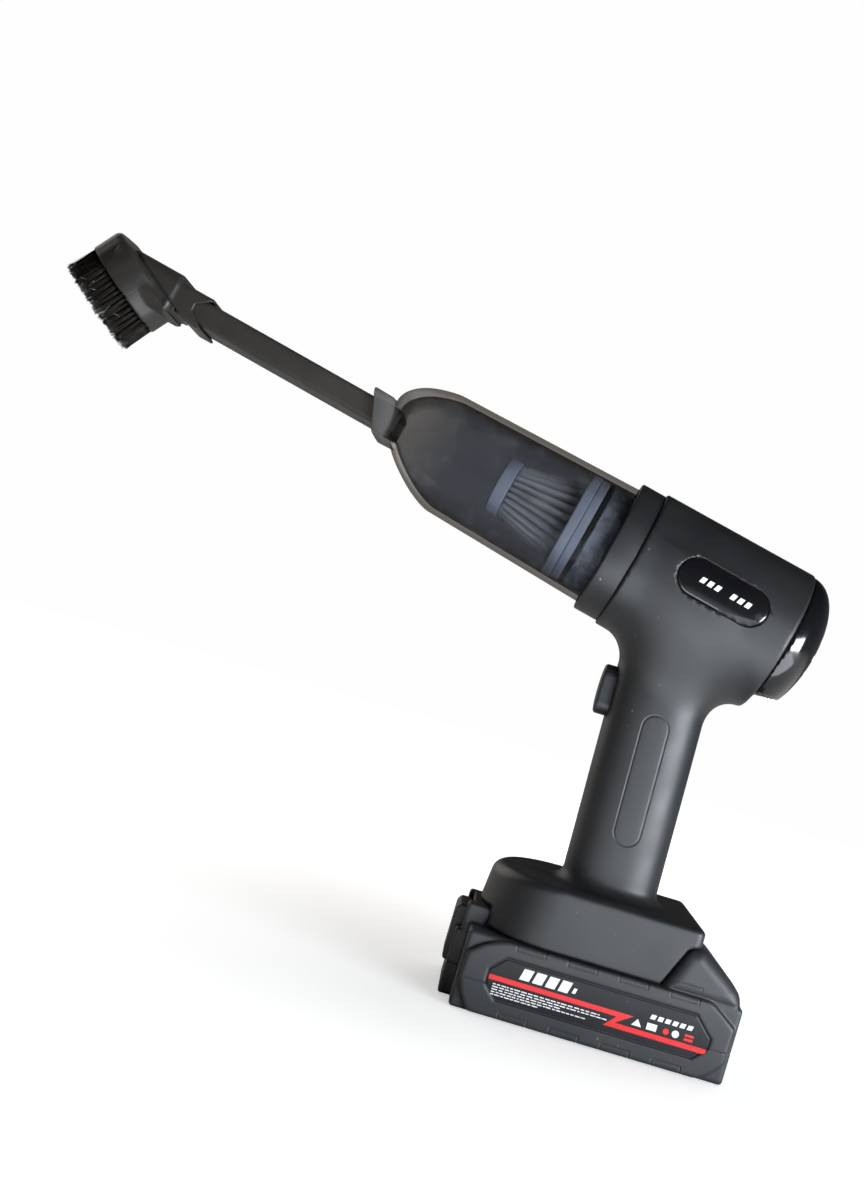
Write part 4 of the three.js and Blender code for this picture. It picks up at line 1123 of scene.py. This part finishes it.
# ---- badge mark: six plain pale bars ----
def badge_mark(name, shapes, material):
    """Thin raised prints that follow the badge's curved face. Shapes are (behind, above)."""
    points, faces = [], []
    for shape in shapes:
        base, count = len(points), len(shape)
        for radius in (32.7, 32.96):
            for behind, above in shape:
                points.append(barrel_point(behind, -sqrt(radius**2 - above**2), above))
        faces.append(tuple(range(base, base + count)))
        faces.append(tuple(range(base + count, base + 2 * count))[::-1])
        for k in range(count):
            j = (k + 1) % count
            faces.append((base + k, base + count + k, base + count + j, base + j))
    piece = add_piece(name, points, faces, material, "body", slot="gloss_plastic", smooth=False)
    tidy_mesh(piece)


badge_mark("badge_bars", [slanted(first + 3.4 * k, first + 2.1 + 3.4 * k, 2.3, 4.8, 0.3)
                          for first in (38.5, 52.6) for k in range(3)], PALE)

# ---- every other node keeps its shape and gets its finish ----
FINISHES = {
    STEEL: ["motor_can", "motor_shaft", "latch_spring"]
    + [f"{place}_screw_{k}" for place in ("body", "pack") for k in range(1, 5)],
    COPPER: ["armature"],
    BRASS: ["front_bearing", "rear_bearing", "terminal_blade_positive",
            "terminal_blade_negative"],
    BODY: ["intake_grille"],
    INNER: ["impeller", "fan_housing", "motor_endbell", "motor_mount", "micro_switch",
            "terminal_block", "cell_holder_left", "cell_holder_right"],
    RUBBER: ["rear_damper", "wire_negative"],
    RED_WIRE: ["wire_positive"],
    BOARD: ["control_board", "charge_board"],
    SLEEVE: [f"cell_{k}" for k in range(1, 6)],
}
for finish, names in FINISHES.items():
    for name in names:
        nodes[name].data.materials.clear()
        nodes[name].data.materials.append(finish)


# ---- floor, light and camera ----
def floor():
    """A pale disc that fades into the white behind it. It glows for the camera only."""
    bpy.ops.mesh.primitive_circle_add(
        vertices=96, radius=3.0, fill_type="NGON", location=(0, 0, -0.0002))
    ground = bpy.context.object
    ground.name = "floor"
    made = Shader("floor_pale", (0.80, 0.80, 0.80), 0.9, specular=0.0)
    made.colour(made.blend(made.noise(3, 2), (0.79, 0.79, 0.795), (0.81, 0.81, 0.81)))
    far = made.vector("LENGTH", made.where, None, "Value")
    made.link(made.fit(far, 0.8, 2.0, 1, 0), made.bsdf.inputs["Alpha"])
    made.bsdf.inputs["Emission Color"].default_value = (1, 1, 1, 1)
    glow = made.fit(far, 0.1, 0.6, 0.5, 1)
    seen = made.node("LightPath").outputs["Is Camera Ray"]
    made.link(made.reckon("MULTIPLY", glow, seen), made.bsdf.inputs["Emission Strength"])
    ground.data.materials.append(made.made)


def world():
    """White behind the object. The light comes from a dim room, warm on the left, dark overhead."""
    sky = bpy.data.worlds.new("studio")
    sky.use_nodes = True
    tree = sky.node_tree
    add, link = tree.nodes.new, tree.links.new
    room = tree.nodes["Background"]
    split = add("ShaderNodeSeparateXYZ")
    link(add("ShaderNodeTexCoord").outputs["Generated"], split.inputs[0])
    side = add("ShaderNodeMapRange")
    side.inputs[1].default_value = -1
    link(split.outputs["X"], side.inputs[0])
    ramp = add("ShaderNodeValToRGB")
    link(side.outputs[0], ramp.inputs[0])
    stops = ramp.color_ramp.elements
    stops[0].color = (0.13, 0.098, 0.072, 1)
    stops[1].color = (0.07, 0.075, 0.085, 1)
    stops.new(0.5).color = (0.09, 0.088, 0.085, 1)
    link(ramp.outputs[0], room.inputs["Color"])
    above = add("ShaderNodeMapRange")
    for socket, number in zip(list(above.inputs)[1:5], (0.0, 0.6, 1.0, 0.12)):
        socket.default_value = number
    link(split.outputs["Z"], above.inputs[0])
    link(above.outputs[0], room.inputs["Strength"])
    white = add("ShaderNodeBackground")
    white.inputs["Color"].default_value = (0.99, 0.99, 0.99, 1)
    mix = add("ShaderNodeMixShader")
    link(add("ShaderNodeLightPath").outputs["Is Camera Ray"], mix.inputs[0])
    link(room.outputs[0], mix.inputs[1])
    link(white.outputs[0], mix.inputs[2])
    link(mix.outputs[0], tree.nodes["World Output"].inputs["Surface"])
    bpy.context.scene.world = sky
    bpy.context.scene.view_settings.view_transform = "Standard"


def area_light(name, place, target, size, watts, colour, shine):
    lamp = bpy.data.lights.new(name, "AREA")
    lamp.shape = "RECTANGLE"
    lamp.size, lamp.size_y = size
    lamp.energy = watts
    lamp.color = colour
    holder = bpy.data.objects.new(name, lamp)
    holder.location = place
    holder.rotation_euler = (Vector(target) - Vector(place)).to_track_quat("-Z", "Y").to_euler()
    holder.visible_camera = False
    holder.visible_glossy = shine
    bpy.context.scene.collection.objects.link(holder)


def camera():
    """The camera stands level, turned about its own axis, with a small shift for the framing."""
    lens = bpy.data.cameras.new("camera")
    lens.lens = 43.1
    lens.sensor_width = 36
    lens.shift_x, lens.shift_y = -0.0566, 0.0549
    lens.clip_start, lens.clip_end = 0.02, 50
    holder = bpy.data.objects.new("camera", lens)
    up = Vector((-0.2857, 0, 0.958)).normalized()
    back = Vector((0, -1, 0))
    turn = Matrix((up.cross(back), up, back)).transposed().to_4x4()
    holder.matrix_world = Matrix.Translation((-0.0779, -0.610, 0.1413)) @ turn
    bpy.context.scene.collection.objects.link(holder)
    bpy.context.scene.camera = holder


floor()
world()
# name, place, target, size, watts, colour, and whether it shows in reflections
LIGHTS = [
    ("window", (0.58, -0.62, 0.10), (0, 0, 0.12), (0.62, 0.34), 16, (0.86, 0.93, 1.0), True),
    ("glow_low", (0.12, -0.31, 0.004), (0.12, -0.31, 1), (0.52, 0.38), 2.4, (0.88, 0.94, 1.0),
     True),
    ("behind_left", (-1.2, 1.1, 0.7), (-0.06, 0, 0.13), (1.5, 1.3), 8, (1.0, 0.98, 0.95), True),
    ("behind_right", (1.1, 1.0, 1.0), (0, 0, 0.13), (1.5, 1.1), 6, (1.0, 0.98, 0.95), False),
    ("overhead", (0.3, 0.1, 1.5), (-0.06, 0, 0.13), (1.4, 1.4), 8, (1.0, 0.97, 0.92), False),
]
for light in LIGHTS:
    area_light(*light)
camera()
